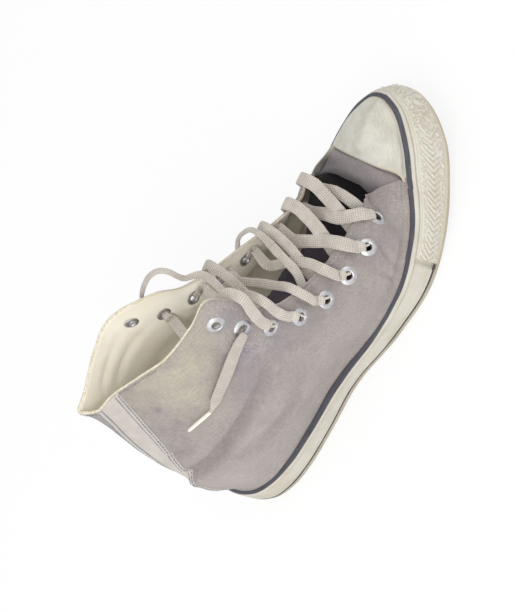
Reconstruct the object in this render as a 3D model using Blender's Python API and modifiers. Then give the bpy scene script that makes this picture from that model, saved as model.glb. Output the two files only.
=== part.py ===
"""Worn high-top canvas sneaker, right foot, empty, standing on its sole.

The long way is X with the toe at +X, the inner (medial) side is +Y, up is +Z.
Tables are in millimetres from the back of the heel; rows go from the toe to the heel.
"""
import bpy
import bmesh
import numpy as np
from mathutils import Matrix, Vector

MM = 0.001
LENGTH = 293.0
MIDDLE = (146.5, -2.9, 0.0)  # middle of the footprint, the origin of the finished object
SPRING = 25.0          # lift of the toe tip
SPRING_FROM = 175.0    # where the lift starts
ARCH = 1.2             # lift of the waist between the two flat spots
EDGE_H = 3.6           # visible outsole edge
SLAB_H = 10.0          # top of the outsole slab inside the foxing
GAP = 0.35             # free space between pieces
SNUG = 0.95            # free space between the upper and the foxing round it
FOX_WALL = 3.4
BUMP_WALL = 2.0
BUMP_END = 203.0
BUMP_DROP = 5.0        # bumper stays this far under the foxing top
WALL = 2.0             # canvas, lining and backing together
CAP_WALL = 1.7
CAP_END = 3.0          # row of the rib table where the toe cap ends
EYELET_R = 5.7
HOLE_R = 2.55
BORE_R = 3.45
SEAT = 0.6             # a flange stands this far off the cloth
BORE_LONG = 14.0
FLAT_R = 4.9           # inside this radius the inner flange meets the cloth
CAP_OFF = 0.7          # free space between the upper and the toe cap
CAP_LOW = 0.215        # level of the cap's lower edge, over the foxing
BOARD_OFF = 1.2        # free space round the insole board
TONGUE_THICK = 2.4

# outline of the outsole: x, half width on the lateral side, half width on the medial side
OUTLINE = (
    (293.0, -6.0, 6.0), (290.0, 5.5, 19.0), (275.0, 25.0, 34.5), (250.0, 38.5, 45.0),
    (220.0, 49.0, 49.0), (190.0, 54.3, 46.5), (150.0, 50.0, 37.5), (110.0, 40.5, 33.0),
    (70.0, 38.2, 34.5), (45.0, 36.5, 35.0), (25.0, 32.0, 31.0), (12.0, 25.0, 24.5),
    (4.0, 15.0, 15.0), (0.0, 0.0, 0.0),
)
# foxing: x, height of its top over the outsole bottom, how far the top leans in
FOXING = (
    (0.0, 27.7, 3.4), (50.0, 27.2, -1.5), (110.0, 26.3, -3.8), (160.0, 26.6, 0.8),
    (200.0, 28.0, 6.0), (250.0, 31.5, 8.6), (293.0, 33.0, 10.0),
)
# ridge of the toe and vamp: x, y, z for ribs 0 to 5, shared by both sides
RIDGE = (
    (262.0, 4.8, 60.4), (256.0, 4.4, 59.8), (250.0, 3.8, 58.2), (241.0, 2.6, 54.6),
    (232.0, 0.0, 51.6), (226.0, -3.0, 50.6),
)
# ribs of the lateral side: foot station 0 toe to 1 heel, low point, high point
LATERAL = (
    (0.000, (275.8, 6.6, 59.6), (270.0, 5.8, 60.6)),
    (0.055, (269.5, -3.5, 57.2), (263.5, 0.4, 59.4)),
    (0.125, (260.5, -13.0, 52.6), (256.0, -5.0, 57.0)),
    (0.205, (243.5, -22.0, 46.4), (242.0, -10.5, 52.2)),
    (0.265, (229.5, -28.5, 44.2), (231.0, -14.5, 49.8)),
    (0.310, (216.5, -35.5, 42.6), (220.5, -23.0, 50.8)),
    (0.345, (208.5, -42.0, 42.0), (212.5, -36.5, 55.0)),
    (0.380, (199.5, -45.5, 42.5), (202.5, -41.0, 59.5)),
    (0.425, (184.5, -47.5, 43.5), (187.5, -43.5, 66.0)),
    (0.500, (153.0, -47.5, 48.0), (159.0, -45.0, 74.0)),
    (0.590, (118.0, -43.0, 58.0), (132.0, -41.0, 98.0)),
    (0.655, (101.0, -42.0, 66.0), (119.0, -36.0, 122.0)),
    (0.720, (82.0, -41.0, 67.0), (99.0, -32.0, 116.0)),
    (0.790, (58.0, -37.5, 66.0), (76.0, -22.0, 112.0)),
    (0.860, (36.0, -31.5, 64.0), (53.0, -8.0, 108.0)),
    (0.955, (11.0, -10.5, 62.0), (35.0, 8.5, 108.0)),
    (1.000, (7.0, 1.0, 60.0), (26.0, 17.0, 105.0)),
)
# free edge of the lateral side from the throat to the back, ribs 5 to 16
LATERAL_EDGE = (
    (226.0, -3.0, 50.6), (222.0, -16.5, 57.5), (207.5, -22.0, 66.0), (190.0, -27.0, 75.5),
    (165.5, -31.0, 94.0), (147.5, -34.5, 123.0), (142.5, -26.0, 165.0), (121.0, -20.0, 162.5),
    (95.0, -10.5, 158.0), (75.0, 4.0, 155.0), (58.5, 16.0, 152.5), (48.5, 21.0, 151.5),
)
MEDIAL = (
    (0.000, (275.8, 6.6, 59.6), (270.0, 5.8, 60.6)),
    (0.050, (268.5, 15.5, 57.0), (262.5, 9.5, 59.4)),
    (0.120, (258.5, 25.5, 52.4), (255.0, 14.5, 57.0)),
    (0.215, (238.5, 30.0, 46.0), (239.5, 17.0, 52.2)),
    (0.270, (226.5, 33.0, 44.0), (229.0, 18.0, 50.2)),
    (0.320, (214.5, 36.0, 43.0), (221.0, 24.0, 51.5)),
    (0.350, (207.0, 39.0, 42.0), (212.0, 33.5, 52.0)),
    (0.385, (197.0, 39.5, 43.0), (198.0, 31.5, 56.0)),
    (0.425, (183.5, 39.0, 46.0), (183.0, 29.0, 63.0)),
    (0.490, (161.0, 37.0, 51.0), (159.5, 26.0, 74.0)),
    (0.555, (141.0, 37.0, 57.0), (141.0, 24.5, 84.0)),
    (0.595, (127.0, 38.0, 60.0), (124.0, 25.0, 99.0)),
    (0.635, (114.0, 38.5, 63.0), (111.0, 28.0, 110.0)),
    (0.680, (100.0, 38.5, 64.0), (98.0, 32.0, 113.0)),
    (0.725, (83.0, 38.5, 64.0), (82.0, 38.5, 113.0)),
    (0.775, (66.0, 38.0, 63.0), (64.5, 42.0, 110.0)),
    (0.850, (38.0, 35.5, 62.0), (42.0, 42.5, 106.0)),
    (0.905, (19.0, 29.0, 61.0), (25.0, 39.0, 103.5)),
    (0.955, (8.5, 13.5, 60.5), (16.5, 28.0, 103.0)),
)
MEDIAL_EDGE = (
    (226.0, -3.0, 50.6), (216.5, 25.0, 61.5), (202.0, 23.0, 65.5), (185.0, 21.5, 78.5),
    (161.0, 24.0, 97.5), (142.0, 26.0, 111.5), (127.5, 28.0, 127.0), (120.5, 29.0, 146.0),
    (104.0, 34.0, 162.5), (88.0, 42.0, 161.0), (66.0, 41.5, 158.0), (44.0, 40.5, 152.5),
    (31.0, 38.5, 151.0), (38.0, 26.0, 150.0), (48.5, 21.0, 151.5),
)
# eyelets from the toe up: lateral x, y, z and medial x, y, z
EYELETS = (
    ((216.6, -29.4, 55.8), (209.0, 30.5, 54.5)),
    ((198.2, -38.0, 63.5), (192.0, 28.0, 62.0)),
    ((178.8, -40.3, 72.1), (174.5, 25.5, 74.0)),
    ((161.2, -40.7, 81.8), (155.0, 24.0, 88.3)),
    ((147.2, -39.9, 96.9), (139.3, 24.0, 102.5)),
    ((136.6, -37.6, 115.8), (123.3, 26.3, 116.2)),
    ((131.5, -33.7, 136.0), (108.7, 29.4, 131.0)),
    ((128.6, -27.9, 152.7), (97.2, 33.8, 148.3)),
)
# section of an eyelet: radius, height over the flange seat, 1 outer seat or 0 inner seat
RING = (
    (HOLE_R, 0.75, 1), (3.4, 1.0, 1), (EYELET_R, 0.0, 1), (2.95, 0.0, 1),
    (2.95, 0.0, 0), (4.6, 0.0, 0), (HOLE_R, -0.7, 0),
)
# tongue from under the vamp to its top edge: medial edge, middle, lateral edge
TONGUE = (
    ((239.0, 17.0, 44.0), (239.0, 2.0, 47.6), (239.0, -13.0, 43.0)),
    ((226.0, 17.0, 42.0), (226.0, -1.0, 41.8), (226.0, -21.0, 40.8)),
    ((204.5, 12.8, 52.0), (204.0, -9.0, 53.0), (203.0, -32.0, 48.0)),
    ((185.5, 8.0, 59.5), (184.0, -14.0, 61.5), (182.0, -35.0, 56.0)),
    ((172.0, 1.0, 68.0), (169.0, -17.0, 70.5), (166.0, -36.0, 64.0)),
    ((161.0, 0.0, 77.0), (156.0, -18.0, 79.5), (151.0, -35.5, 74.0)),
    ((151.5, -4.0, 84.0), (146.0, -20.0, 88.5), (141.0, -34.5, 86.0)),
    ((144.5, -8.0, 91.0), (139.0, -21.0, 98.0), (134.0, -32.0, 98.0)),
    ((137.0, -9.0, 100.0), (131.0, -20.0, 109.0), (127.0, -30.0, 109.0)),
)


# lace runs by hand: name, width, eyelet it leaves (side, number, face 1 outer or -1 inner), eyelet it
# goes to, and between them x, y, z and the direction its flat face looks
RUNS = (
    ("bar", 7.6, (1, 1, -1), None, (
        (213, 17, 55.0, 0.1, -0.4, 0.9), (216, 6, 57.0, 0.1, -0.3, 0.9),
        (216.5, -4, 57.2, 0.1, -0.3, 0.9), (215.3, -13, 56.0, 0.1, -0.1, 1.0),
        (213.7, -21, 55.0, 0.1, -0.1, 1.0))),
    ("first_near", 7.8, (-1, 1, 1), (1, 2, -1), (
        (217.7, -30.9, 62.2, 0.5, -0.8, 0.3), (214.5, -25, 66.5, 0.4, -0.3, 0.9),
        (210, -20, 68.0, 0.2, -0.4, 0.9), (205, -12, 67.0, 0.1, -0.3, 0.9),
        (202, 0, 65.0, 0.1, -0.3, 0.9), (198, 11, 62.5, 0.1, -0.6, 0.8))),
    ("first_far", 7.8, (1, 1, 1), (-1, 2, -1), (
        (212, 31, 63.0, 0.0, 0.9, 0.4), (214, 24, 68.8, 0.1, 0.1, 1.0),
        (214.5, 16, 68.2, 0.1, -0.3, 0.9), (212, 5, 66.8, 0.1, -0.3, 0.9),
        (208, -8, 65.0, 0.1, -0.3, 0.9), (203, -20, 61.5, 0.1, -0.2, 1.0))),
    ("second_near", 7.8, (-1, 2, 1), (1, 3, -1), (
        (196, -34.5, 72.0, 0.5, -0.4, 0.8), (194, -28, 76.6, 0.2, -0.4, 0.9),
        (190, -17, 75.8, 0.1, -0.3, 0.9), (184, -5, 74.6, 0.1, -0.3, 0.9),
        (179, 6, 73.5, 0.1, -0.6, 0.8))),
    ("second_far", 7.8, (1, 2, 1), (-1, 3, -1), (
        (194, 27, 70.0, 0.0, 0.9, 0.4), (197, 21, 77.0, 0.1, 0.1, 1.0),
        (198, 13, 77.0, 0.1, -0.3, 0.9), (196, 2, 75.6, 0.1, -0.3, 0.9),
        (191, -13, 73.6, 0.1, -0.3, 0.9), (185, -25, 69.5, 0.1, -0.2, 1.0))),
    ("third_near", 6.4, (-1, 3, 1), (1, 4, -1), (
        (177, -39, 79.5, 0.4, -0.6, 0.7), (177, -33, 87.4, 0.2, -0.4, 0.9),
        (175, -21, 87.5, 0.1, -0.3, 0.9), (169, -8, 87.5, 0.1, -0.3, 0.9),
        (160, 5, 87.3, 0.1, -0.7, 0.7))),
    ("third_far", 6.4, (1, 3, 1), (-1, 4, -1), (
        (176, 27, 83.0, 0.0, 0.9, 0.4), (179, 20, 90.0, 0.1, 0.1, 1.0),
        (179, 10, 89.7, 0.1, -0.3, 0.9), (177, -2, 88.0, 0.1, -0.3, 0.9),
        (173, -14, 86.0, 0.1, -0.3, 0.9), (167, -26, 81.0, 0.1, -0.2, 1.0))),
    ("fourth_near", 5.6, (-1, 4, 1), (1, 5, -1), (
        (159, -40.5, 91.0, 0.4, -0.8, 0.4), (160.3, -39, 99.5, 0.4, -0.7, 0.6),
        (160.5, -30.5, 106.6, 0.2, -0.4, 0.9), (156, -18, 103.0, 0.1, -0.3, 0.9),
        (151, -5, 102.0, 0.1, -0.3, 0.9), (145, 10, 102.0, 0.1, -0.7, 0.7))),
    ("fourth_far", 5.6, None, (-1, 5, -1), (
        (172, 1, 94.6, 0.1, -0.3, 0.9), (170, -8, 93.6, 0.1, -0.3, 0.9),
        (167, -19, 91.5, 0.1, -0.3, 0.9), (161, -28, 91.0, 0.1, -0.2, 1.0))),
    ("fifth_near", 5.6, (-1, 5, 1), (1, 6, -1), (
        (146, -39.8, 108.0, 0.3, -0.9, 0.2), (147, -38.5, 119.0, 0.2, -0.9, 0.2),
        (150, -35, 128.0, 0.5, -0.5, 0.7), (149, -25, 130.0, 0.2, -0.2, 1.0),
        (140, -8, 122.0, 0.1, -0.3, 0.9), (132, 8, 117.0, 0.1, -0.7, 0.7))),
    ("fifth_far", 5.6, (1, 5, 1), (-1, 6, -1), (
        (141, 30, 111.0, 0.0, 0.9, 0.4), (146, 25, 117.5, 0.1, 0.1, 1.0),
        (147, 13, 118.0, 0.1, -0.3, 0.9), (146, 1, 117.0, 0.1, -0.3, 0.9),
        (143, -12, 113.5, 0.1, -0.3, 0.9))),
    ("sixth_near", 5.6, (-1, 6, 1), (1, 7, -1), (
        (139, -38, 127.5, 0.1, -0.9, 0.3), (144, -35.8, 138.5, 0.1, -0.9, 0.3),
        (149, -33, 147.0, 0.5, -0.5, 0.7), (147, -22.5, 148.5, -0.1, -0.2, 1.0),
        (132, -17, 141.0, -0.3, -0.2, 0.9), (121, -13, 127.0, -0.3, -0.2, 0.9),
        (112, -9, 115.0, 0.1, -0.3, 0.9), (103, 0, 113.0, 0.1, -0.8, 0.5),
        (102, 13, 120.0, 0.1, -0.9, 0.5))),
)
# runs that touch where they cross are one solid
CROSSINGS = (
    ("lace_bar", ("bar",)), ("lace_crossing_1", ("first_near", "first_far")),
    ("lace_crossing_2", ("second_near", "second_far")), ("lace_crossing_3", ("third_near", "third_far")),
    ("lace_run_4_far", ("fourth_far",)), ("lace_run_4", ("fourth_near",)), ("lace_run_5", ("fifth_near",)),
    ("lace_run_5_far", ("fifth_far",)), ("lace_run_6", ("sixth_near",)),
)
# loose lace, by hand: name, then x, y, z along its middle
CORDS = (
    ("lace_loop_front", (
        (155.2, 26.8, 88.5), (158.0, 31.2, 88.5), (162.0, 33.2, 89.3), (166.0, 32.3, 91.0),
        (170.0, 29.2, 92.8), (173.0, 26.0, 94.2), (174.8, 21.5, 96.0), (175.2, 15.0, 96.6),
        (174.6, 9.0, 96.2), (173.2, 4.0, 95.6))),
    ("lace_loop_rear", (
        (122.8, 29.0, 116.3), (116.5, 33.0, 119.5), (110.0, 37.5, 126.5), (107.0, 39.3, 134.0),
        (109.5, 39.0, 141.0), (115.0, 38.3, 145.5), (121.5, 37.3, 148.2), (128.0, 35.5, 149.5),
        (133.5, 32.0, 148.0), (135.5, 27.5, 144.0), (135.0, 24.5, 139.0), (135.3, 22.5, 134.0),
        (138.0, 21.0, 131.0), (141.5, 17.5, 129.5), (143.0, 11.0, 129.5), (143.0, 3.0, 131.5),
        (142.0, -7.0, 133.5), (138.5, -17.0, 134.5), (134.0, -25.5, 134.8))),
    ("lace_end", (
        (129.8, -37.4, 136.6), (124.0, -36.9, 136.8), (118.0, -35.7, 135.0), (111.0, -34.2, 132.0),
        (103.0, -32.2, 128.0), (94.0, -29.7, 123.5), (85.0, -27.0, 119.0), (77.0, -24.8, 115.0),
        (70.5, -22.9, 112.0))),
)
CORD_STEP = 6.5        # from one point of a cord to the next
CORD_R = 1.4
AGLET_R = 1.7
AGLET = ((69.9, -22.7, 111.7), (50.0, -11.5, 108.0))
LACE_THICK = 1.1
LACE_OFF = 1.0         # from an eyelet's face to the middle of the lace
FLANGE_OUT = 1.0       # height of an eyelet's outer flange
FLANGE_IN = 0.7        # height of its inner flange

RUBBER = (0.8, 0.77, 0.66)
CAP_RUBBER = (0.85, 0.84, 0.78)
BUMPER_RUBBER = (0.82, 0.77, 0.6)
SOLE_RUBBER = (0.62, 0.52, 0.38)
CANVAS = (0.46, 0.41, 0.4)
BOARD = (0.7, 0.66, 0.52)
BLACK_CLOTH = (0.12, 0.1, 0.11)
LACE = (0.68, 0.63, 0.52)
METAL = (0.7, 0.7, 0.72)
TIP = (0.85, 0.83, 0.76)


def hermite(ts, ps, t):
    """Smooth curve through rows, with parabola slopes at the rows."""
    ts, ps, t = np.asarray(ts, float), np.asarray(ps, float), np.atleast_1d(t).astype(float)
    d = np.diff(ps, axis=0) / np.diff(ts)[:, None]
    h = np.diff(ts)
    m = np.empty_like(ps)
    m[1:-1] = (d[:-1] * h[1:, None] + d[1:] * h[:-1, None]) / (h[1:] + h[:-1])[:, None]
    m[0] = 1.5 * d[0] - 0.5 * m[1] if len(ts) > 2 else d[0]
    m[-1] = 1.5 * d[-1] - 0.5 * m[-2] if len(ts) > 2 else d[-1]
    i = np.clip(np.searchsorted(ts, t, side="right") - 1, 0, len(ts) - 2)
    w = h[i]
    q = ((t - ts[i]) / w)[:, None]
    w = w[:, None]
    return ((2 * q**3 - 3 * q**2 + 1) * ps[i] + (q**3 - 2 * q**2 + q) * w * m[i]
            + (3 * q**2 - 2 * q**3) * ps[i + 1] + (q**3 - q**2) * w * m[i + 1])


def closed_outline():
    rows = np.array(OUTLINE)
    lat = np.c_[rows[:, 0], -rows[:, 1]]
    med = np.c_[rows[:, 0], rows[:, 2]][-2::-1]
    ring = np.r_[lat, med]
    ring = np.r_[ring[-4:-1], ring, ring[1:4]]
    steps = np.linalg.norm(np.diff(ring, axis=0), axis=1)
    ts = np.r_[0, np.cumsum(np.maximum(steps, 1e-6))]
    keep = np.r_[True, steps > 1e-5]
    ring, ts = ring[keep], ts[keep]
    heel = int(np.argmin(np.hypot(ring[:, 0], ring[:, 1])))
    tips = np.where(np.abs(ring[:, 0] - LENGTH) < 1e-6)[0]
    fine = np.linspace(ts[0], ts[-1], 6001)
    curve = hermite(ts, ring, fine)
    # one run from the toe tip to the heel and one on to the next tip
    t0 = ts[max(i for i in tips if i < heel)]
    t1 = ts[min(i for i in tips if i > heel)]
    lat = curve[(fine >= t0) & (fine <= ts[heel])]
    med = curve[(fine >= ts[heel]) & (fine <= t1)][::-1]
    return {-1: lat, 1: med}


RIM = closed_outline()
RUN = {k: np.r_[0, np.cumsum(np.linalg.norm(np.diff(RIM[k], axis=0), axis=1))] for k in RIM}


def along(side, t):
    """Outline point at length t from the toe tip; past either end it runs on round the other side."""
    run, other = RUN[side], RUN[-side]
    flip = (t < 0) | (t > run[-1])
    far = np.where(t < 0, -t, other[-1] - (t - run[-1]))
    own = [np.interp(t, run, RIM[side][:, k]) for k in (0, 1)]
    past = [np.interp(far, other, RIM[-side][:, k]) for k in (0, 1)]
    return np.c_[np.where(flip, past[0], own[0]), np.where(flip, past[1], own[1])]


def rim(side, s):
    """Outline point and outward normal at station s, 0 toe tip to 1 heel."""
    t = np.clip(np.atleast_1d(s), 0, 1) * RUN[side][-1]
    d = along(side, t + 2.5) - along(side, t - 2.5)
    n = np.c_[d[:, 1], -d[:, 0]] * side
    return along(side, t), n / np.linalg.norm(n, axis=1)[:, None]


def rise(x):
    toe = SPRING * (np.clip((x - SPRING_FROM) / (LENGTH - SPRING_FROM), 0, 1.1)) ** 2
    arch = ARCH * np.sin(np.pi * np.clip((x - 72) / (140 - 72), 0, 1)) ** 2
    return toe + arch


def band(x):
    r = np.array(FOXING)
    return np.interp(x, r[:, 0], r[:, 1])


def lean(x):
    r = np.array(FOXING)
    return np.interp(x, r[:, 0], r[:, 2])


def outer_inset(x, h):
    return lean(x) * np.clip((h - 4) / (band(x) - 4), 0, 1) ** 1.3


def inner_inset(x, h):
    lo, hi = FOX_WALL + 0.2 + (BUMP_WALL + GAP) * bump(x), FOX_WALL + lean(x) + 0.4 * bump(x)
    hi = np.maximum(hi, lo + 0.2 * lean(x))
    return lo + (hi - lo) * np.clip((h - 4) / (band(x) - 4), 0, 1)


def bump(x):
    q = np.clip((x - (BUMP_END - 5)) / 3.5, 0, 1)
    return q * q * (3 - 2 * q)


def ring_points(stations, inset, h, add=0.0):
    """Ring of points round the outline, inset(x, h) inwards, at height h over the outsole bottom."""
    out = []
    for side, ss in ((-1, stations), (1, stations[-2:0:-1])):
        p, n = rim(side, ss)
        x = p[:, 0]
        hh = h(x) if callable(h) else h + 0 * x
        q = p - n * (inset(x, hh) + add)[:, None]
        out.append(np.c_[q, hh + rise(x)])
    return np.concatenate(out)


def outward(mesh, merge=1e-6):
    """Merges doubles and turns the faces outwards."""
    bm = bmesh.new()
    bm.from_mesh(mesh)
    bmesh.ops.remove_doubles(bm, verts=bm.verts, dist=merge)
    bmesh.ops.recalc_face_normals(bm, faces=bm.faces)
    if bm.faces and not any(e.is_boundary for e in bm.edges) and bm.calc_volume(signed=True) < 0:
        bmesh.ops.reverse_faces(bm, faces=bm.faces)
    bm.to_mesh(mesh)
    bm.free()


def placed(p):
    """A point of the tables in metres, measured from the middle of the footprint."""
    return Vector([float(c) - o for c, o in zip(p, MIDDLE)]) * MM


def new_object(name, verts, faces, merge=1e-6):
    mesh = bpy.data.meshes.new(name)
    mesh.from_pydata([placed(v) for v in verts], [], faces)
    ob = bpy.data.objects.new(name, mesh)
    PARTS.objects.link(ob)
    outward(mesh, merge)
    return ob


def ring_solid(name, rings, closed_band=False):
    """Stacks rings; the ends are laddered shut, or the last ring joins the first."""
    m = len(rings[0])
    verts = [p for r in rings for p in r]
    faces = []
    count = len(rings)
    for k in range(count if closed_band else count - 1):
        a, b = k * m, ((k + 1) % count) * m
        for i in range(m):
            j = (i + 1) % m
            faces.append((a + i, a + j, b + j, b + i))
    if not closed_band:
        half = m // 2
        for base in (0, (count - 1) * m):
            for i in range(half):
                a, b, c, d = i, i + 1, m - (i + 1), (m - i) % m
                quad = [base + q for q in (a, b, c, d)]
                quad = list(dict.fromkeys(quad))
                if len(quad) > 2:
                    faces.append(tuple(quad))
    return new_object(name, verts, faces)


def material(ob, color, roughness=0.7, metallic=0.0):
    mat = bpy.data.materials.new(ob.name + "_material")
    mat.use_nodes = True
    shader = mat.node_tree.nodes["Principled BSDF"]
    shader.inputs["Base Color"].default_value = (*color, 1.0)
    shader.inputs["Roughness"].default_value = roughness
    shader.inputs["Metallic"].default_value = metallic
    ob.data.materials.clear()
    ob.data.materials.append(mat)


def apply_modifiers(ob):
    depsgraph = bpy.context.evaluated_depsgraph_get()
    mesh = bpy.data.meshes.new_from_object(ob.evaluated_get(depsgraph))
    ob.modifiers.clear()
    ob.data = mesh


def solidify(ob, thickness, offset):
    mod = ob.modifiers.new("wall", "SOLIDIFY")
    mod.thickness = thickness * MM
    mod.offset = offset
    mod.use_even_offset = True
    mod.use_rim = True


# the upper as a function of side, rib and height along the rib
LEVELS = (0.0, 0.17, 0.44, 0.74, 1.0)
RIB_ROWS = {-1: LATERAL, 1: MEDIAL + (LATERAL[-1],)}
EDGE_ROWS = {-1: LATERAL_EDGE, 1: MEDIAL_EDGE}
LAST = {-1: len(LATERAL) - 1, 1: len(MEDIAL)}


def rib_controls(side, u):
    """Foot, foxing level, low, high and top points of the ribs u of one side."""
    rows, other = RIB_ROWS[side], RIB_ROWS[-side]
    ts = np.arange(len(rows), dtype=float)
    ext = np.r_[-1.0, ts, ts[-1] + 1]
    wrap = lambda k: np.array([other[1][k]] + [r[k] for r in rows] + [other[-2][k]])
    m1, m2 = hermite(ext, wrap(1), u), hermite(ext, wrap(2), u)
    s = np.interp(u, ts, [r[0] for r in rows])
    p, n = rim(side, s)
    x = p[:, 0]
    foot_h = SLAB_H + 0.9 + 0 * x
    foot = np.c_[p - n * (inner_inset(x, foot_h) + SNUG)[:, None], foot_h + rise(x)]
    top_h = band(x)
    knee = np.c_[p - n * (inner_inset(x, top_h) + SNUG)[:, None], top_h + rise(x)]
    ridge = hermite(np.arange(len(RIDGE)), np.array(RIDGE), np.clip(u, 0, 5))
    edge_rows = np.array(EDGE_ROWS[side])
    edge = hermite(np.arange(len(edge_rows)) + 5.0, edge_rows, np.clip(u, 5, ts[-1]))
    top = np.where((u <= 5)[:, None], ridge, edge)
    return foot, knee, m1, m2, top


def surface(side, u, v):
    """Points of the outer face; u and v are arrays of one length."""
    u, v = np.atleast_1d(u).astype(float), np.atleast_1d(v).astype(float)
    c = np.stack(rib_controls(side, u), axis=1)
    o = rib_controls(-side, np.minimum(u, 5.0))[3]
    ts = np.array(LEVELS)
    h = np.diff(ts)
    d = np.diff(c, axis=1) / h[None, :, None]
    m = np.empty_like(c)
    m[:, 1:-1] = (d[:, :-1] * h[1:][None, :, None] + d[:, 1:] * h[:-1][None, :, None]) \
        / (h[1:] + h[:-1])[None, :, None]
    m[:, 0] = d[:, 0]
    free = 1.4 * d[:, -1] - 0.4 * m[:, -2]
    over = (o - c[:, 3]) / (2 * h[-1])
    blend = np.clip((5.0 - u) / 1.2, 0, 1)
    blend = (blend * np.clip(u / 0.8, 0, 1))[:, None]
    m[:, -1] = free * (1 - blend) + over * blend
    i = np.clip(np.searchsorted(ts, v, side="right") - 1, 0, 3)
    k = np.arange(len(u))
    w = h[i][:, None]
    q = (v - ts[i])[:, None] / w
    return ((2 * q**3 - 3 * q**2 + 1) * c[k, i] + (q**3 - 2 * q**2 + q) * w * m[k, i]
            + (3 * q**2 - 2 * q**3) * c[k, i + 1] + (q**3 - q**2) * w * m[k, i + 1])


def normal(side, u, v):
    u, v = np.atleast_1d(u).astype(float), np.atleast_1d(v).astype(float)
    e = 0.02
    du = surface(side, np.minimum(u + e, LAST[side]), v) - surface(side, np.maximum(u - e, 0), v)
    tip = (u < e) & (v < 0.9)
    if tip.any():
        du[tip] = surface(side, u[tip] + e, v[tip]) - surface(-side, e - u[tip], v[tip])
    dv = surface(side, u, np.minimum(v + e, 1)) - surface(side, u, np.maximum(v - e, 0))
    n = np.cross(du, dv) * side
    return n / np.linalg.norm(n, axis=1)[:, None]


def sheet(name, us, vs, offset=0.0):
    """The outer face between ribs and levels, both sides in one sheet; us maps a side to its ribs."""
    verts, faces = [], []
    for side in (-1, 1):
        base = len(verts)
        grid = [(a, b) for a in us[side] for b in vs]
        ga, gb = np.array(grid).T
        p = surface(side, ga, gb)
        if offset:
            p = p + normal(side, ga, gb) * offset
            # points on the ridge and on the shared ribs take one place for both sides
            on = (gb >= 1 - 1e-9) & (ga <= 5)
            q = surface(side, ga, gb)
            gs = np.where(gb > 0.85, np.maximum(ga, 0.4), ga)
            both = normal(-1, gs, gb) + normal(1, gs, gb)
            both /= np.linalg.norm(both, axis=1)[:, None]
            shared = on | (ga <= 1e-9)
            p[shared] = (q + both * offset)[shared]
        verts += list(p)
        m = len(vs)
        for i in range(len(us[side]) - 1):
            for j in range(m - 1):
                a = base + i * m + j
                quad = (a, a + m, a + m + 1, a + 1)
                faces.append(quad if side < 0 else quad[::-1])
    return new_object(name, verts, faces, merge=2e-5)


def seat(side, target):
    """Rib and level of the face nearest to a point."""
    target = np.array(target)
    lo, hi = np.array([5.0, 0.5]), np.array([LAST[side] - 1.0, 0.985])
    for _ in range(5):
        ua, va = np.meshgrid(np.linspace(lo[0], hi[0], 33), np.linspace(lo[1], hi[1], 33))
        d = np.linalg.norm(surface(side, ua.ravel(), va.ravel()) - target, axis=1)
        k = int(np.argmin(d))
        best = np.array([ua.ravel()[k], va.ravel()[k]])
        span = (hi - lo) / 8
        lo = np.maximum(best - span, (5.0, 0.5))
        hi = np.minimum(best + span, (LAST[side] - 1.0, 0.985))
    return best[0], best[1]


def seating(side, target):
    """Seat of an eyelet: rib, level, point, mean normal, highest outer and lowest inner cloth round it."""
    u, v = seat(side, target)
    p = surface(side, u, v)[0]
    ua, va = np.meshgrid(np.linspace(-1.2, 1.2, 25) + u, np.linspace(-0.2, 0.2, 25) + v)
    ua, va = ua.ravel(), va.ravel()
    keep = (va < 1) & (ua > 5.02)
    q, nq = surface(side, ua[keep], va[keep]), normal(side, ua[keep], va[keep])
    near = np.linalg.norm(q - p, axis=1) < EYELET_R + 0.3
    mean = q[near].mean(axis=0)
    axis = np.linalg.svd(q[near] - mean)[2][2]
    axis = axis * np.sign(axis @ nq[near].mean(axis=0))
    inside = q - nq * WALL
    reach = np.linalg.norm(np.cross(inside - p, axis), axis=1) < FLAT_R
    top = float(((q[near] - p) @ axis).max())
    base = float(((inside[reach] - p) @ axis).min())
    return side, u, v, p, axis, top, base


def frame_at(p, n):
    z = Vector(n).normalized()
    return Matrix.Translation(placed(p)) @ z.to_track_quat("Z", "Y").to_matrix().to_4x4()


for ob in list(bpy.data.objects):
    bpy.data.objects.remove(ob, do_unlink=True)
PARTS = bpy.data.collections.new("shoe")
CUTTERS = bpy.data.collections.new("cutters")
bpy.context.scene.collection.children.link(PARTS)
bpy.context.scene.collection.children.link(CUTTERS)

# outsole: tread edge, then the slab the foxing wraps
def station_of(side, x):
    ss = np.linspace(0, 1, 2001)
    return float(np.interp(-x, -rim(side, ss)[0][:, 0], ss))


BUMP_S = {side: station_of(side, BUMP_END) for side in (-1, 1)}
SOLE_STATIONS = np.unique(np.round(np.r_[
    0, 0.018, 0.037, 0.057, 0.08, 0.107, 0.138, 0.172, 0.21, 0.25,
    [station_of(k, x) for k in (-1, 1) for x in (BUMP_END, BUMP_END - 1.5, BUMP_END - 5.0)],
    np.linspace(0.36, 0.84, 12), 0.87, 0.895, 0.918, 0.94, 0.96, 0.98, 1], 4))
zero = lambda x, h: 0 * x
sole = ring_solid("outsole", [
    ring_points(SOLE_STATIONS, zero, 0.0, 2.2),
    ring_points(SOLE_STATIONS, zero, 1.0, 0.5),
    ring_points(SOLE_STATIONS, zero, EDGE_H, 0.2),
    ring_points(SOLE_STATIONS, inner_inset, EDGE_H, GAP + 0.2),
    ring_points(SOLE_STATIONS, inner_inset, SLAB_H, GAP + 0.2),
])
material(sole, SOLE_RUBBER, 0.8)

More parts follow.
